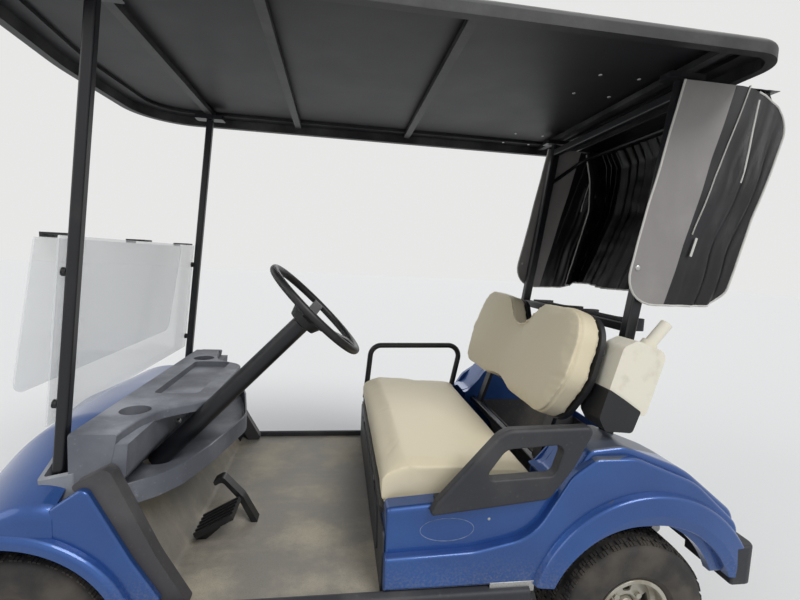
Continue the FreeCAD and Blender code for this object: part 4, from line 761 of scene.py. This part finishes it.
def front_seam(point, normal):
    """Distance from the crease behind the front panel; the panel itself is far from it."""
    return (depth_in_back(point) - seam_depth) if abs(normal.dot(back_in)) < 0.85 else 1.0


def shell_seam(point, normal):
    """Distance from the edge where the pad meets its shell."""
    return (depth_in_back(point) - back_thickness) if normal.dot(back_in) < 0.9 else 1.0


pad = copy_of_node("seat_back", "stuffed_back")
stuff(pad, pressure=4.0, cap=0.009, voxel=0.008, soften=8)
once_finer(pad)
pad.data.update()
saddle_depth, saddle_half_width = 0.020, 0.13
rest_swell, rest_y, rest_half_width = 0.006, 0.25, 0.14
rest_climb, rest_half_climb = 0.30, 0.28
shaped = [(v, v.normal.copy()) for v in pad.data.vertices]
for vertex, normal in shaped:
    climb = (vertex.co - back_foot).dot(back_up) / back_height
    front = max(0.0, -normal.dot(back_in))
    saddle = math.exp(-(vertex.co.y / saddle_half_width) ** 2) * min(1.0, max(0.0, climb * 1.6))
    rest = math.exp(-((abs(vertex.co.y) - rest_y) / rest_half_width) ** 2)
    rest *= math.exp(-((climb - rest_climb) / rest_half_climb) ** 2)
    vertex.co += back_in * front * (saddle_depth * saddle - rest_swell * rest)
    dent(vertex, normal, 13.0, 9.0)
press_line(pad, front_seam, depth=0.0055, width=0.0045)
press_line(pad, shell_seam, depth=0.006, width=0.008)
for vertex in pad.data.vertices:
    behind = depth_in_back(vertex.co) - back_thickness
    if behind > 0.0:
        vertex.co -= back_in * behind
finish_piece(pad, "seat_vinyl", "chassis", crisp=50.0)
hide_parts("seat_back")
print("back pad faces:", len(pad.data.polygons))


# %% [markdown]
# ## Tyres with a turf tread
#
# A turf tyre has a smooth, rounded wall with a few moulded rings, and a tread of many small low blocks that
# don't tear grass. One section from bead to bead is extruded point by point and spun round the axle, which
# makes the carcass. Every tread face that isn't a groove is then inset and pulled out by the height of a
# lug, which gives real blocks instead of a bump.

# %% One tyre
wall = [  # across the tyre, radius: from the bead out to the shoulder
    (-0.0893, 0.1022), (-0.0893, 0.1105), (-0.0930, 0.1160), (-0.1010, 0.1260),
    (-0.1012, 0.1285), (-0.1055, 0.1400), (-0.1075, 0.1560), (-0.1070, 0.1700),
    (-0.1062, 0.1720), (-0.1060, 0.1850), (-0.1045, 0.1990), (-0.1010, 0.2080),
]
tread_half = 0.094
tread_base = tyre_radius - 0.0055
tread_crown = 0.0085
tread_edge_radius = 0.2105
lug_gap = 0.0011
lug_height = 0.0052
columns = 13
steps_round = 132
groove_columns = (2, 5, 7, 10)

section_rows = list(wall)
for step in range(columns + 1):
    across = -tread_half + 2 * tread_half * step / columns
    section_rows.append((across, tread_base - tread_crown * (abs(across) / tread_half) ** 3))
section_rows += [(-across, radius) for across, radius in reversed(wall)]
clear_selection()
bpy.ops.mesh.primitive_plane_add(size=0.01)
tyre = named("tyre_turf")
bpy.ops.object.mode_set(mode="EDIT")
bpy.ops.mesh.select_all(action="SELECT")
bpy.ops.mesh.merge(type="CENTER")
section = bmesh.from_edit_mesh(tyre.data)
section.verts.ensure_lookup_table()
section.verts[0].co = (0.0, *section_rows[0])
for across, radius in section_rows[1:]:
    bpy.ops.mesh.extrude_region_move(TRANSFORM_OT_translate={"value": (0.0, 0.0, 0.0)})
    section = bmesh.from_edit_mesh(tyre.data)
    moved = [v for v in section.verts if v.select][0]
    moved.co = (0.0, across, radius)
    bmesh.update_edit_mesh(tyre.data)
bpy.ops.mesh.select_all(action="SELECT")
bpy.ops.mesh.spin(steps=steps_round, angle=2 * math.pi, center=(0.0, 0.0, 0.0), axis=(0.0, 1.0, 0.0))
bpy.ops.mesh.select_all(action="SELECT")
bpy.ops.mesh.remove_doubles(threshold=0.0001)
bpy.ops.mesh.normals_make_consistent(inside=False)
print("rows across the tyre:", len(section_rows), "steps round it:", steps_round)


# %% Lugs of the tread
tread = bmesh.from_edit_mesh(tyre.data)
bpy.ops.mesh.select_all(action="DESELECT")
for face in tread.faces:
    place = face.calc_center_median()
    if math.hypot(place.x, place.z) < tread_edge_radius or abs(place.y) > tread_half:
        continue
    turn = int((math.atan2(place.x, place.z) / (2 * math.pi) + 1.0) * steps_round) % steps_round
    column = int((place.y + tread_half) / (2 * tread_half) * columns)
    groove = column in groove_columns or (turn + column * 2) % 4 == 0
    face.select = not groove
bmesh.update_edit_mesh(tyre.data)
bpy.ops.mesh.inset(thickness=lug_gap, depth=0.0, use_individual=True)
bpy.ops.mesh.extrude_faces_move(TRANSFORM_OT_shrink_fatten={"value": lug_height})
bpy.ops.object.mode_set(mode="OBJECT")
largest = max(math.hypot(v.co.x, v.co.z) for v in tyre.data.vertices)
print("tyre faces:", len(tyre.data.polygons), "radius", round(largest, 4))


# %% Four tyres
for corner in ("front_left", "front_right", "rear_left", "rear_right"):
    copy = bpy.data.objects.new("turf_tyre_" + corner, tyre.data.copy())
    bpy.context.collection.objects.link(copy)
    copy.location = middle("tyre_" + corner)
    finish_piece(copy, "tyre_rubber", "wheel_" + corner, crisp=30.0)
    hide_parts("tyre_" + corner)
bpy.data.objects.remove(tyre)
print("tyres replaced")


# %% [markdown]
# ## Curtains of the bag cover
#
# Behind each rear post hangs a quarter panel of coated cloth. It is cut with rounded lower corners, bound
# with pale tape, snapped to the post and zipped to the rear flap. A flat polygon with rounded corners is
# cut into a grid by bisecting, so its outline stays exact while its middle can billow.

# %% Cut a panel of cloth
def round_corner(piece, place, radius):
    """Round one corner of a flat panel that lies in the XZ plane."""
    select_only(piece)
    for vertex in piece.data.vertices:
        vertex.select = (vertex.co - Vector(place)).length < 0.0005
    for edge in piece.data.edges:
        edge.select = False
    for face in piece.data.polygons:
        face.select = False
    bpy.ops.object.mode_set(mode="EDIT")
    bpy.ops.mesh.select_mode(type="VERT")
    bpy.ops.mesh.bevel(offset=radius, offset_type="OFFSET", segments=8, affect="VERTICES")
    bpy.ops.object.mode_set(mode="OBJECT")


def cut_across(piece, place, direction):
    """Cut every face that the plane through place meets, and keep both sides."""
    select_only(piece)
    bpy.ops.object.mode_set(mode="EDIT")
    bpy.ops.mesh.select_all(action="SELECT")
    bpy.ops.mesh.bisect(plane_co=place, plane_no=direction)
    bpy.ops.object.mode_set(mode="OBJECT")


def edge_binding(piece, name, radius, highest):
    """Tape along a panel's open edges below a height, from a copy of those edges."""
    select_only(piece)
    bpy.ops.object.mode_set(mode="EDIT")
    bpy.ops.mesh.select_mode(type="EDGE")
    bpy.ops.mesh.select_all(action="DESELECT")
    bpy.ops.mesh.select_non_manifold(extend=False, use_wire=False, use_multi_face=False,
                                     use_non_contiguous=False, use_verts=False)
    edges = bmesh.from_edit_mesh(piece.data)
    for edge in edges.edges:
        if edge.select and (edge.verts[0].co.z + edge.verts[1].co.z) / 2 >= highest:
            edge.select = False
    edges.select_flush(False)
    bmesh.update_edit_mesh(piece.data)
    bpy.ops.mesh.duplicate()
    bpy.ops.mesh.separate(type="SELECTED")
    bpy.ops.object.mode_set(mode="OBJECT")
    tape = [o for o in bpy.context.selected_objects if o != piece][0]
    select_only(tape)
    tape = named(name)
    bpy.ops.object.convert(target="CURVE")
    tape.data.bevel_depth = radius
    tape.data.bevel_resolution = 2
    tape.data.use_fill_caps = True
    bpy.ops.object.convert(target="MESH")
    return bpy.context.object


def sew(piece, thickness):
    """Give flat cloth its thickness, half of it to each side, and finish it in black, the cloth's painted
    shade.
    """
    wall_of_cloth = piece.modifiers.new("Thickness", "SOLIDIFY")
    wall_of_cloth.thickness = thickness
    wall_of_cloth.offset = 0.0
    return finish_piece(piece, "cloth_painted_shade", crisp=60.0)


# %% [markdown]
# ### Outline of the left curtain
#
# The outline was measured from the photograph. A slanting seam parts its dull grey front from the cloth
# behind it, which is glossy and painted black as painted shade, and the zipper runs down just behind the
# seam. Both lines are cut into the panel, so that the change to painted shade and the start of the pleats
# follow an edge of the mesh.

# %% Left curtain, flat
curtain_y = 0.4271
corners = [  # x from the rear axle, z, rounding
    (0.020, 1.114, 0.115), (-0.118, 1.788, 0.0), (-0.400, 1.788, 0.090), (-0.474, 1.690, 0.050),
    (-0.300, 1.120, 0.060),
]
clear_selection()
bpy.ops.mesh.primitive_circle_add(vertices=len(corners), radius=0.2, fill_type="NGON")
curtain = named("curtain_left")
for vertex, (x, z, rounding) in zip(curtain.data.vertices, corners):
    vertex.co = (rear_axle + x, curtain_y, z)
for x, z, rounding in corners:
    if rounding:
        round_corner(curtain, (rear_axle + x, curtain_y, z), rounding)


def away_from(top, foot):
    """The direction in the panel that points from a slanting line to the cart's tail."""
    down = (foot - top).normalized()
    return Vector((down.z, 0.0, -down.x))


zip_top = Vector((-1.104, curtain_y, 1.790))
zip_foot = Vector((-0.960, curtain_y, 1.333))
zip_back = away_from(zip_top, zip_foot)
seam_foot = Vector((-0.893, curtain_y, 1.125))
seam_back = away_from(Vector((-1.058, curtain_y, 1.790)), seam_foot)
cut_across(curtain, zip_foot, -zip_back)
cut_across(curtain, seam_foot, -seam_back)
cut_rows, lowest_row, rise_of_rows = 24, 1.105, 0.683
cut_columns, depth_of_columns = 48, 0.474
for step in range(1, cut_rows):
    z = lowest_row + rise_of_rows * step / cut_rows
    cut_across(curtain, (0.0, curtain_y, z), (0.0, 0.0, 1.0))
for step in range(1, cut_columns):
    x = rear_axle - depth_of_columns * step / cut_columns
    cut_across(curtain, (x, curtain_y, 1.4), (1.0, 0.0, 0.0))
print("curtain faces:", len(curtain.data.polygons))


# %% Left curtain, billowed
cloth_top = 1.790
held_depth = 0.25
pleat_start = 0.05
pleat_depth = 0.015
pleat_turns = 118.0


def billow(x, z):
    """How far the hanging cloth stands out of its flat plane.

    It grows from nothing at the sewn top to its full size at held_depth below it, and the pleats grow
    from the zipper to pleat_start behind it.
    """
    free = max(0.0, min(1.0, (cloth_top - z) / held_depth))
    slow = math.sin((x + 0.9) * 13.0 + z * 3.0) * 0.005 + wander((x, 0.0, z), 7.0, 2.0) * 0.006
    ripple = wander((x * 2.2, 0.0, z * 0.6), 16.0, 6.0) * 0.0022
    behind_zip = (Vector((x, curtain_y, z)) - zip_foot).dot(zip_back)
    drawn = max(0.0, min(1.0, behind_zip / pleat_start))
    turn = behind_zip * pleat_turns + wander((x, 0.0, z), 5.0, 4.0) * 2.2
    pleats = drawn * pleat_depth * (0.5 + 0.5 * math.sin(turn)) ** 1.7
    return free * (slow + ripple + pleats)


def finish_in_two(panel):
    """Grey cloth ahead of the seam, and behind it the cloth painted black as painted shade."""
    panel.data.materials.clear()
    for finish in ("curtain_cloth", "cloth_painted_shade"):
        panel.data.materials.append(bpy.data.materials[finish])
    for face in panel.data.polygons:
        face.material_index = int((face.center - seam_foot).dot(seam_back) > 0)


for vertex in curtain.data.vertices:
    vertex.co.y += billow(vertex.co.x, vertex.co.z)
binding_radius = 0.0032
curtain_thickness = 0.0016
binding = edge_binding(curtain, "curtain_tape_left", binding_radius, highest=1.775)
sew(curtain, curtain_thickness)
finish_in_two(curtain)
finish_piece(binding, "edge_tape")
print("curtain corners at", [round(v, 3) for v in curtain.bound_box[0]])


# %% [markdown]
# ## The gathered rear flap
#
# With the cover rolled open, its rear flap hangs behind the bow in deep vertical folds that draw together
# towards the bottom. A grid is laid along a path that runs back along one side, across the tail and
# forward along the other side. Each vertex is then moved in from that path by the depth of its fold. Of
# the cloth's width, a side takes 24% and a corner 5%, and the tail takes what is left.

# %% Path and folds of the flap
def between(rows, z):
    """Straight-line reading of a table of (z, value) rows that climb in z."""
    for (z0, v0), (z1, v1) in zip(rows, rows[1:]):
        if z <= z1:
            return v0 + (v1 - v0) * max(0.0, (z - z0) / (z1 - z0))
    return rows[-1][1]


flap_front = [  # z, x of the front end from the rear axle
    (1.130, -0.252), (1.300, -0.296), (1.500, -0.346), (1.640, -0.340), (1.790, -0.304),
]
flap_back = [  # z, x of the tail from the rear axle
    (1.130, -0.330), (1.300, -0.398), (1.480, -0.466), (1.640, -0.487), (1.720, -0.486), (1.790, -0.446),
]
flap_half = 0.418
turn_radius = 0.045
side_share, corner_share = 0.24, 0.05


def flap_point(share, z):
    """Point of the flap and the direction into it, for a share from 0 to 1 along its width."""
    front = rear_axle + between(flap_front, z)
    back = rear_axle + between(flap_back, z)
    mirror = share > 0.5
    if mirror:
        share = 1.0 - share
    if share < side_share:
        place = Vector((front + (back + turn_radius - front) * share / side_share, flap_half, z))
        inward = Vector((0.0, -1.0, 0.0))
    elif share < side_share + corner_share:
        angle = (share - side_share) / corner_share * math.pi / 2
        place = Vector((back + turn_radius - turn_radius * math.sin(angle),
                        flap_half - turn_radius + turn_radius * math.cos(angle), z))
        inward = Vector((math.sin(angle), -math.cos(angle), 0.0))
    else:
        part = (share - side_share - corner_share) / (0.5 - side_share - corner_share)
        place = Vector((back, (flap_half - turn_radius) * (1.0 - part), z))
        inward = Vector((1.0, 0.0, 0.0))
    if mirror:
        place.y = -place.y
        inward.y = -inward.y
    return place, inward


# %% Rear flap
clear_selection()
bpy.ops.mesh.primitive_grid_add(x_subdivisions=330, y_subdivisions=46, size=1.0)
flap = named("rear_flap")
flap_top, flap_drop, flap_length = 1.786, 0.645, 0.69
lowest_hem = 1.131
hem_wave = 0.014
folds, fold_drift = 34, 0.30
side_fold, tail_fold = 0.034, 0.026
crumple_depth = 0.003
behind_tape = 0.004
hem_radius = 0.0034
cover_thickness = 0.0018
for vertex in flap.data.vertices:
    share = min(1.0, max(0.0, vertex.co.x + 0.5))
    height = vertex.co.y + 0.5
    below = 1.0 - height
    z = flap_top - flap_drop * below + hem_wave * below * wander((share * 12.0, 0.0, 0.0), 1.0, 8.0)
    place, inward = flap_point(share, max(lowest_hem, z))
    phase = share * folds + fold_drift * wander((share * 4.0, z * 1.6, 0.0), 1.0, 1.0)
    wave = 0.5 - 0.5 * math.cos(2 * math.pi * phase)
    size = side_fold if min(share, 1.0 - share) < 0.25 else tail_fold
    size *= 0.75 + 0.5 * wander((math.floor(phase + 0.5) * 3.7, 0.0, 0.0), 1.0, 5.0)
    crumple = crumple_depth * wander((place.x, place.y, z), 22.0, 3.0)
    vertex.co = place + inward * (size * wave ** 1.4 * (1.25 - 0.5 * height) + crumple + behind_tape)
flap_hem = edge_binding(flap, "flap_tape", hem_radius, highest=1.765)
sew(flap, cover_thickness)
finish_piece(flap_hem, "edge_tape")


# %% [markdown]
# ## The top of the cover
#
# Above the flap the cover is one stretched strip from the bow to the tail. It is a fine grid that sags a
# few millimetres between its edges and is held flat where the sides are sewn to it.

# %% Top of the cover
clear_selection()
bpy.ops.mesh.primitive_grid_add(x_subdivisions=24, y_subdivisions=80, size=1.0)
cover_top = named("cover_top")
top_back = rear_axle - 0.447
top_depth = 0.179
top_half = 0.4215
top_height = 1.7885
deepest_sag = 0.007
crease = 0.0012
for vertex in cover_top.data.vertices:
    forward = vertex.co.x + 0.5
    across = vertex.co.y * 2.0
    sag = deepest_sag * (1.0 - across ** 4) * math.sin(math.pi * forward)
    sag += crease * (1.0 + wander(vertex.co, 9.0, 11.0))
    vertex.co = (top_back + top_depth * forward, top_half * across, top_height - sag)
print("cover top: area", round(sum(face.area for face in cover_top.data.polygons), 3), "m2")
sew(cover_top, cover_thickness)


# %% [markdown]
# ## The zipper, the snap and the other side
#
# A moulded zipper joins the quarter panel to the flap. Each tooth is a small rounded block, and one array
# lays them along the line. They are then pushed out by the same billow as the cloth under them.

# %% Zipper
def follow_cloth(piece, clear):
    """Push a flat piece out to the billowed cloth, and past it by clear."""
    for vertex in piece.data.vertices:
        vertex.co.y += billow(vertex.co.x, vertex.co.z) + clear


def line_on_cloth(top, foot, steps=12):
    """Points from top to foot that follow the cloth."""
    points = []
    for step in range(steps + 1):
        point = top.lerp(foot, step / steps)
        points.append((point.x, point.y + billow(point.x, point.z), point.z))
    return points


tooth_pitch = 0.0034
tooth_half = Vector((0.0022, 0.0008, 0.0011))
tooth_clear = 0.0032
zip_tape_radius = 0.0026
teeth = int((zip_foot - zip_top).length / tooth_pitch)
tooth = block("zip_teeth", -tooth_half, tooth_half, round_over=0.0004)
row = tooth.modifiers.new("Row", "ARRAY")
row.use_relative_offset = False
row.use_constant_offset = True
row.constant_offset_displace = (0.0, 0.0, -tooth_pitch)
row.count = teeth
apply_all(tooth)
zip_line = (zip_foot - zip_top).normalized()
zip_turn = Matrix.Translation(zip_top) @ Matrix.Rotation(math.atan2(-zip_line.x, -zip_line.z), 4, "Y")
for vertex in tooth.data.vertices:
    vertex.co = zip_turn @ vertex.co
follow_cloth(tooth, tooth_clear)
finish_piece(tooth, "edge_tape")
zip_tape = tube_along("zip_tape", line_on_cloth(zip_top, zip_foot), zip_tape_radius, sides=12)
finish_piece(zip_tape, "strap_web")
puller_half_width, puller_half_depth, puller_length = 0.004, 0.0012, 0.060
puller = block("zip_pull", (-puller_half_width, -puller_half_depth, -puller_length),
               (puller_half_width, puller_half_depth, 0.0), round_over=0.0011)
puller.location = zip_foot + Vector((-0.012, 0.009, -0.006))
puller.rotation_euler = (0.06, -0.30, 0.0)
finish_piece(puller, "edge_tape")
print("zipper teeth:", teeth)


# %% Welt and snap
welt_top = Vector((-1.140, curtain_y, 1.752))
welt_foot = Vector((-1.091, curtain_y, 1.499))
welt_radius = 0.0030
welt = tube_along("curtain_welt", line_on_cloth(welt_top, welt_foot), welt_radius)
finish_piece(welt, "edge_tape")
snap_place = (-0.793, curtain_y, 1.228)
snap_radius, snap_flatness, snap_clear = 0.0085, 0.38, 0.0016
clear_selection()
bpy.ops.mesh.primitive_uv_sphere_add(segments=24, ring_count=12, radius=snap_radius, location=snap_place)
snap = named("curtain_snap")
snap.scale = (1.0, snap_flatness, 1.0)
bpy.ops.object.transform_apply(location=True, rotation=True, scale=True)
follow_cloth(snap, snap_clear)
finish_piece(snap, "zinc")
print("welt and snap on", welt.name, "and", snap.name)


# %% Right side
def mirrored(piece, name, finish):
    """An own copy of a piece on the other side of the cart."""
    select_only(piece)
    bpy.ops.object.duplicate()
    other = named(name)
    other.scale = (1.0, -1.0, 1.0)
    return finish_piece(other, finish, crisp=60.0)


other_curtain = mirrored(curtain, "curtain_right", "curtain_cloth")
finish_in_two(other_curtain)
right_side = {
    "curtain_tape_right": (binding, "edge_tape"),
    "zip_teeth_right": (tooth, "edge_tape"),
    "zip_tape_right": (zip_tape, "strap_web"),
    "zip_pull_right": (puller, "edge_tape"),
    "curtain_welt_right": (welt, "edge_tape"),
    "curtain_snap_right": (snap, "zinc"),
}
for name, (piece, finish) in right_side.items():
    mirrored(piece, name, finish)
print("mirrored to the right side:", 1 + len(right_side))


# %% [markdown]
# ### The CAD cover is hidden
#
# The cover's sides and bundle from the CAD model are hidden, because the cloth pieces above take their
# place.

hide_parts("cover_sides")
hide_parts("cover_bundle")


# %% [markdown]
# ## Small things on the body
#
# A thin raised ring marks where the cart's number goes, a blank plate sits above the sill, and small
# fasteners hold the panels and the roof. One function models a domed head at its real size, wherever it
# goes and whichever way it faces.

# %% Ring, plate and fasteners
flare_stands_out = 0.052
panel_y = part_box("rear_body")[1].y - flare_stands_out
ring_x, ring_z = -0.213, 0.487
ring_half_length, ring_half_height, ring_wire = 0.076, 0.033, 0.0011
ring_steps = 40
ring_points = []
for step in range(ring_steps):
    angle = 2 * math.pi * step / ring_steps
    ring_points.append((ring_x + ring_half_length * math.cos(angle), panel_y,
                        ring_z + ring_half_height * math.sin(angle)))
ring = tube_along("number_ring", ring_points, ring_wire, closed=True)
finish_piece(ring, "ring_enamel")
plate_low, plate_high = (-0.466, 0.5640, 0.312), (-0.336, 0.5662, 0.342)
plate = block("sill_plate", plate_low, plate_high, round_over=0.0009)
finish_piece(plate, "zinc")


def button_head(name, place, radius, height, axis):
    """A low zinc head with a rounded rim, which faces along the axis."""
    clear_selection()
    bpy.ops.mesh.primitive_cylinder_add(vertices=20, radius=radius, depth=height)
    head = named(name)
    bevel_edges(head, min(radius, height) * 0.45, limit=50.0)
    turn = Vector((0.0, 0.0, 1.0)).rotation_difference(Vector(axis)).to_matrix().to_4x4()
    for vertex in head.data.vertices:
        vertex.co = Matrix.Translation(place) @ turn @ vertex.co
    finish_piece(head, "zinc")


panel_screws = [(-0.331, 0.513), (-0.549, 0.461)]  # x, z
screw_radius, screw_height = 0.0042, 0.0022
for number, (x, z) in enumerate(panel_screws):
    for letter, side in (("l", 1.0), ("r", -1.0)):
        button_head("panel_screw_%d_%s" % (number, letter), (x, side * panel_y, z),
                    screw_radius, screw_height, (0.0, side, 0.0))
roof_bolt_rows = (-0.640, -0.765)
roof_bolt_sides = (0.388, -0.388, 0.24, -0.24)
roof_underside = 1.790
bolt_radius, bolt_height = 0.0055, 0.004
for number, x in enumerate(roof_bolt_rows):
    for y in roof_bolt_sides:
        button_head("roof_bolt_%d_%d" % (number, round(y * 100)), (x, y, roof_underside),
                    bolt_radius, bolt_height, (0.0, 0.0, -1.0))
knob_place, knob_radius, knob_length = (0.618, 0.147, 0.650), 0.009, 0.020
button_head("dash_knob", knob_place, knob_radius, knob_length, (-1.0, 0.0, 0.0))
print("screws:", 2 * len(panel_screws), "roof bolts:", len(roof_bolt_rows) * len(roof_bolt_sides))


# %% [markdown]
# ## Floor and light
#
# A plain pale floor runs into a pale world, as in a photo studio. The world is white only to the camera
# and in reflections, and lights the cart more weakly. Three distant lamps with wide discs give soft
# shadows: a strong one from behind and above the camera, and two weaker ones from the nose and from the
# far side.

# %% Studio
clear_selection()
bpy.ops.mesh.primitive_plane_add(size=60.0, location=(0.0, 0.0, 0.0))
floor = named("studio_floor")
floor_paper = bpy.data.materials.new("floor_paper")
floor_paper.use_nodes = True
paper = floor_paper.node_tree.nodes["Principled BSDF"]
paper.inputs["Base Color"].default_value = (0.78, 0.78, 0.77, 1.0)
paper.inputs["Roughness"].default_value = 0.9
floor.data.materials.append(floor_paper)
floor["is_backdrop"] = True

world = bpy.data.worlds.new("studio_world")
bpy.context.scene.world = world
world.use_nodes = True
tree = world.node_tree
tree.nodes.clear()
start = Wire(tree)
paths = tree.nodes.new("ShaderNodeLightPath")
seen = Wire(tree, paths.outputs["Is Camera Ray"]) + Wire(tree, paths.outputs["Is Glossy Ray"])
seen = (seen + Wire(tree, paths.outputs["Is Transmission Ray"])).clamp()
light = start.node("Background", {}, {"Color": (0.92, 0.95, 1.0, 1.0), "Strength": 0.42})
backdrop = start.node("Background", {}, {"Color": (0.80, 0.80, 0.795, 1.0), "Strength": 1.0})
both = start.node("MixShader", {}, {0: seen, 1: light, 2: backdrop})
tree.links.new(both.socket, tree.nodes.new("ShaderNodeOutputWorld").inputs["Surface"])


def lamp(name, turned, strength, softness):
    """A lamp so far away that the whole floor gets the same light; softness blurs its shadows."""
    data = bpy.data.lights.new(name, "SUN")
    data.energy = strength
    data.angle = math.radians(softness)
    made = bpy.data.objects.new(name, data)
    bpy.context.collection.objects.link(made)
    made.rotation_euler = Vector(turned).to_track_quat("Z", "Y").to_euler()
    print("lamp:", name)


lamp("key_light", (-0.45, 0.75, 0.95), 1.7, 28.0)
lamp("front_light", (0.9, 0.35, 0.5), 0.5, 40.0)
lamp("back_light", (-0.2, -1.0, 0.7), 0.6, 40.0)


# %% [markdown]
# ## The camera where the photographer stood
#
# The photographer stood close, at the driver's side, with a wide lens. The place, the three angles and
# the focal length were worked out from known sizes of the cart, and the frame is 800 by 600 pixels.

# %% Camera
camera_place = (0.1094, 1.65155, 1.21882)
yaw, pitch, roll = 0.1440, -0.0916, 0.0478
focal_pixels = 439.76
frame_pixels = 800
sensor_width = 36.0
ahead = Vector((-math.sin(yaw) * math.cos(pitch), -math.cos(yaw) * math.cos(pitch), math.sin(pitch)))
level_right = Vector((-math.cos(yaw), math.sin(yaw), 0.0))
level_up = level_right.cross(ahead)
right = level_right * math.cos(roll) + level_up * math.sin(roll)
up = level_up * math.cos(roll) - level_right * math.sin(roll)
camera_data = bpy.data.cameras.new("photo_camera")
camera_data.sensor_width = sensor_width
camera_data.lens = focal_pixels * sensor_width / frame_pixels
camera_data.clip_start = 0.02
camera = bpy.data.objects.new("photo_camera", camera_data)
bpy.context.collection.objects.link(camera)
turned = Matrix((right, up, -ahead)).transposed().to_4x4()
camera.matrix_world = Matrix.Translation(camera_place) @ turned
bpy.context.scene.camera = camera
bpy.context.scene.view_settings.view_transform = "Standard"
print("focal length:", round(camera_data.lens, 2), "mm on a sensor of", sensor_width, "mm")


# %% [markdown]
# ## Sizes and the end
#
# The model must stay inside the box that the CAD model measured, so the last line prints how far the
# finished model reaches past that box on each side.

# %% Print how far the model grew
final_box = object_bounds()
past_box = (*(cad_box[0] - final_box[0]), *(final_box[1] - cad_box[1]))
print("grown by, in mm:", [round(1000 * v, 1) for v in past_box])
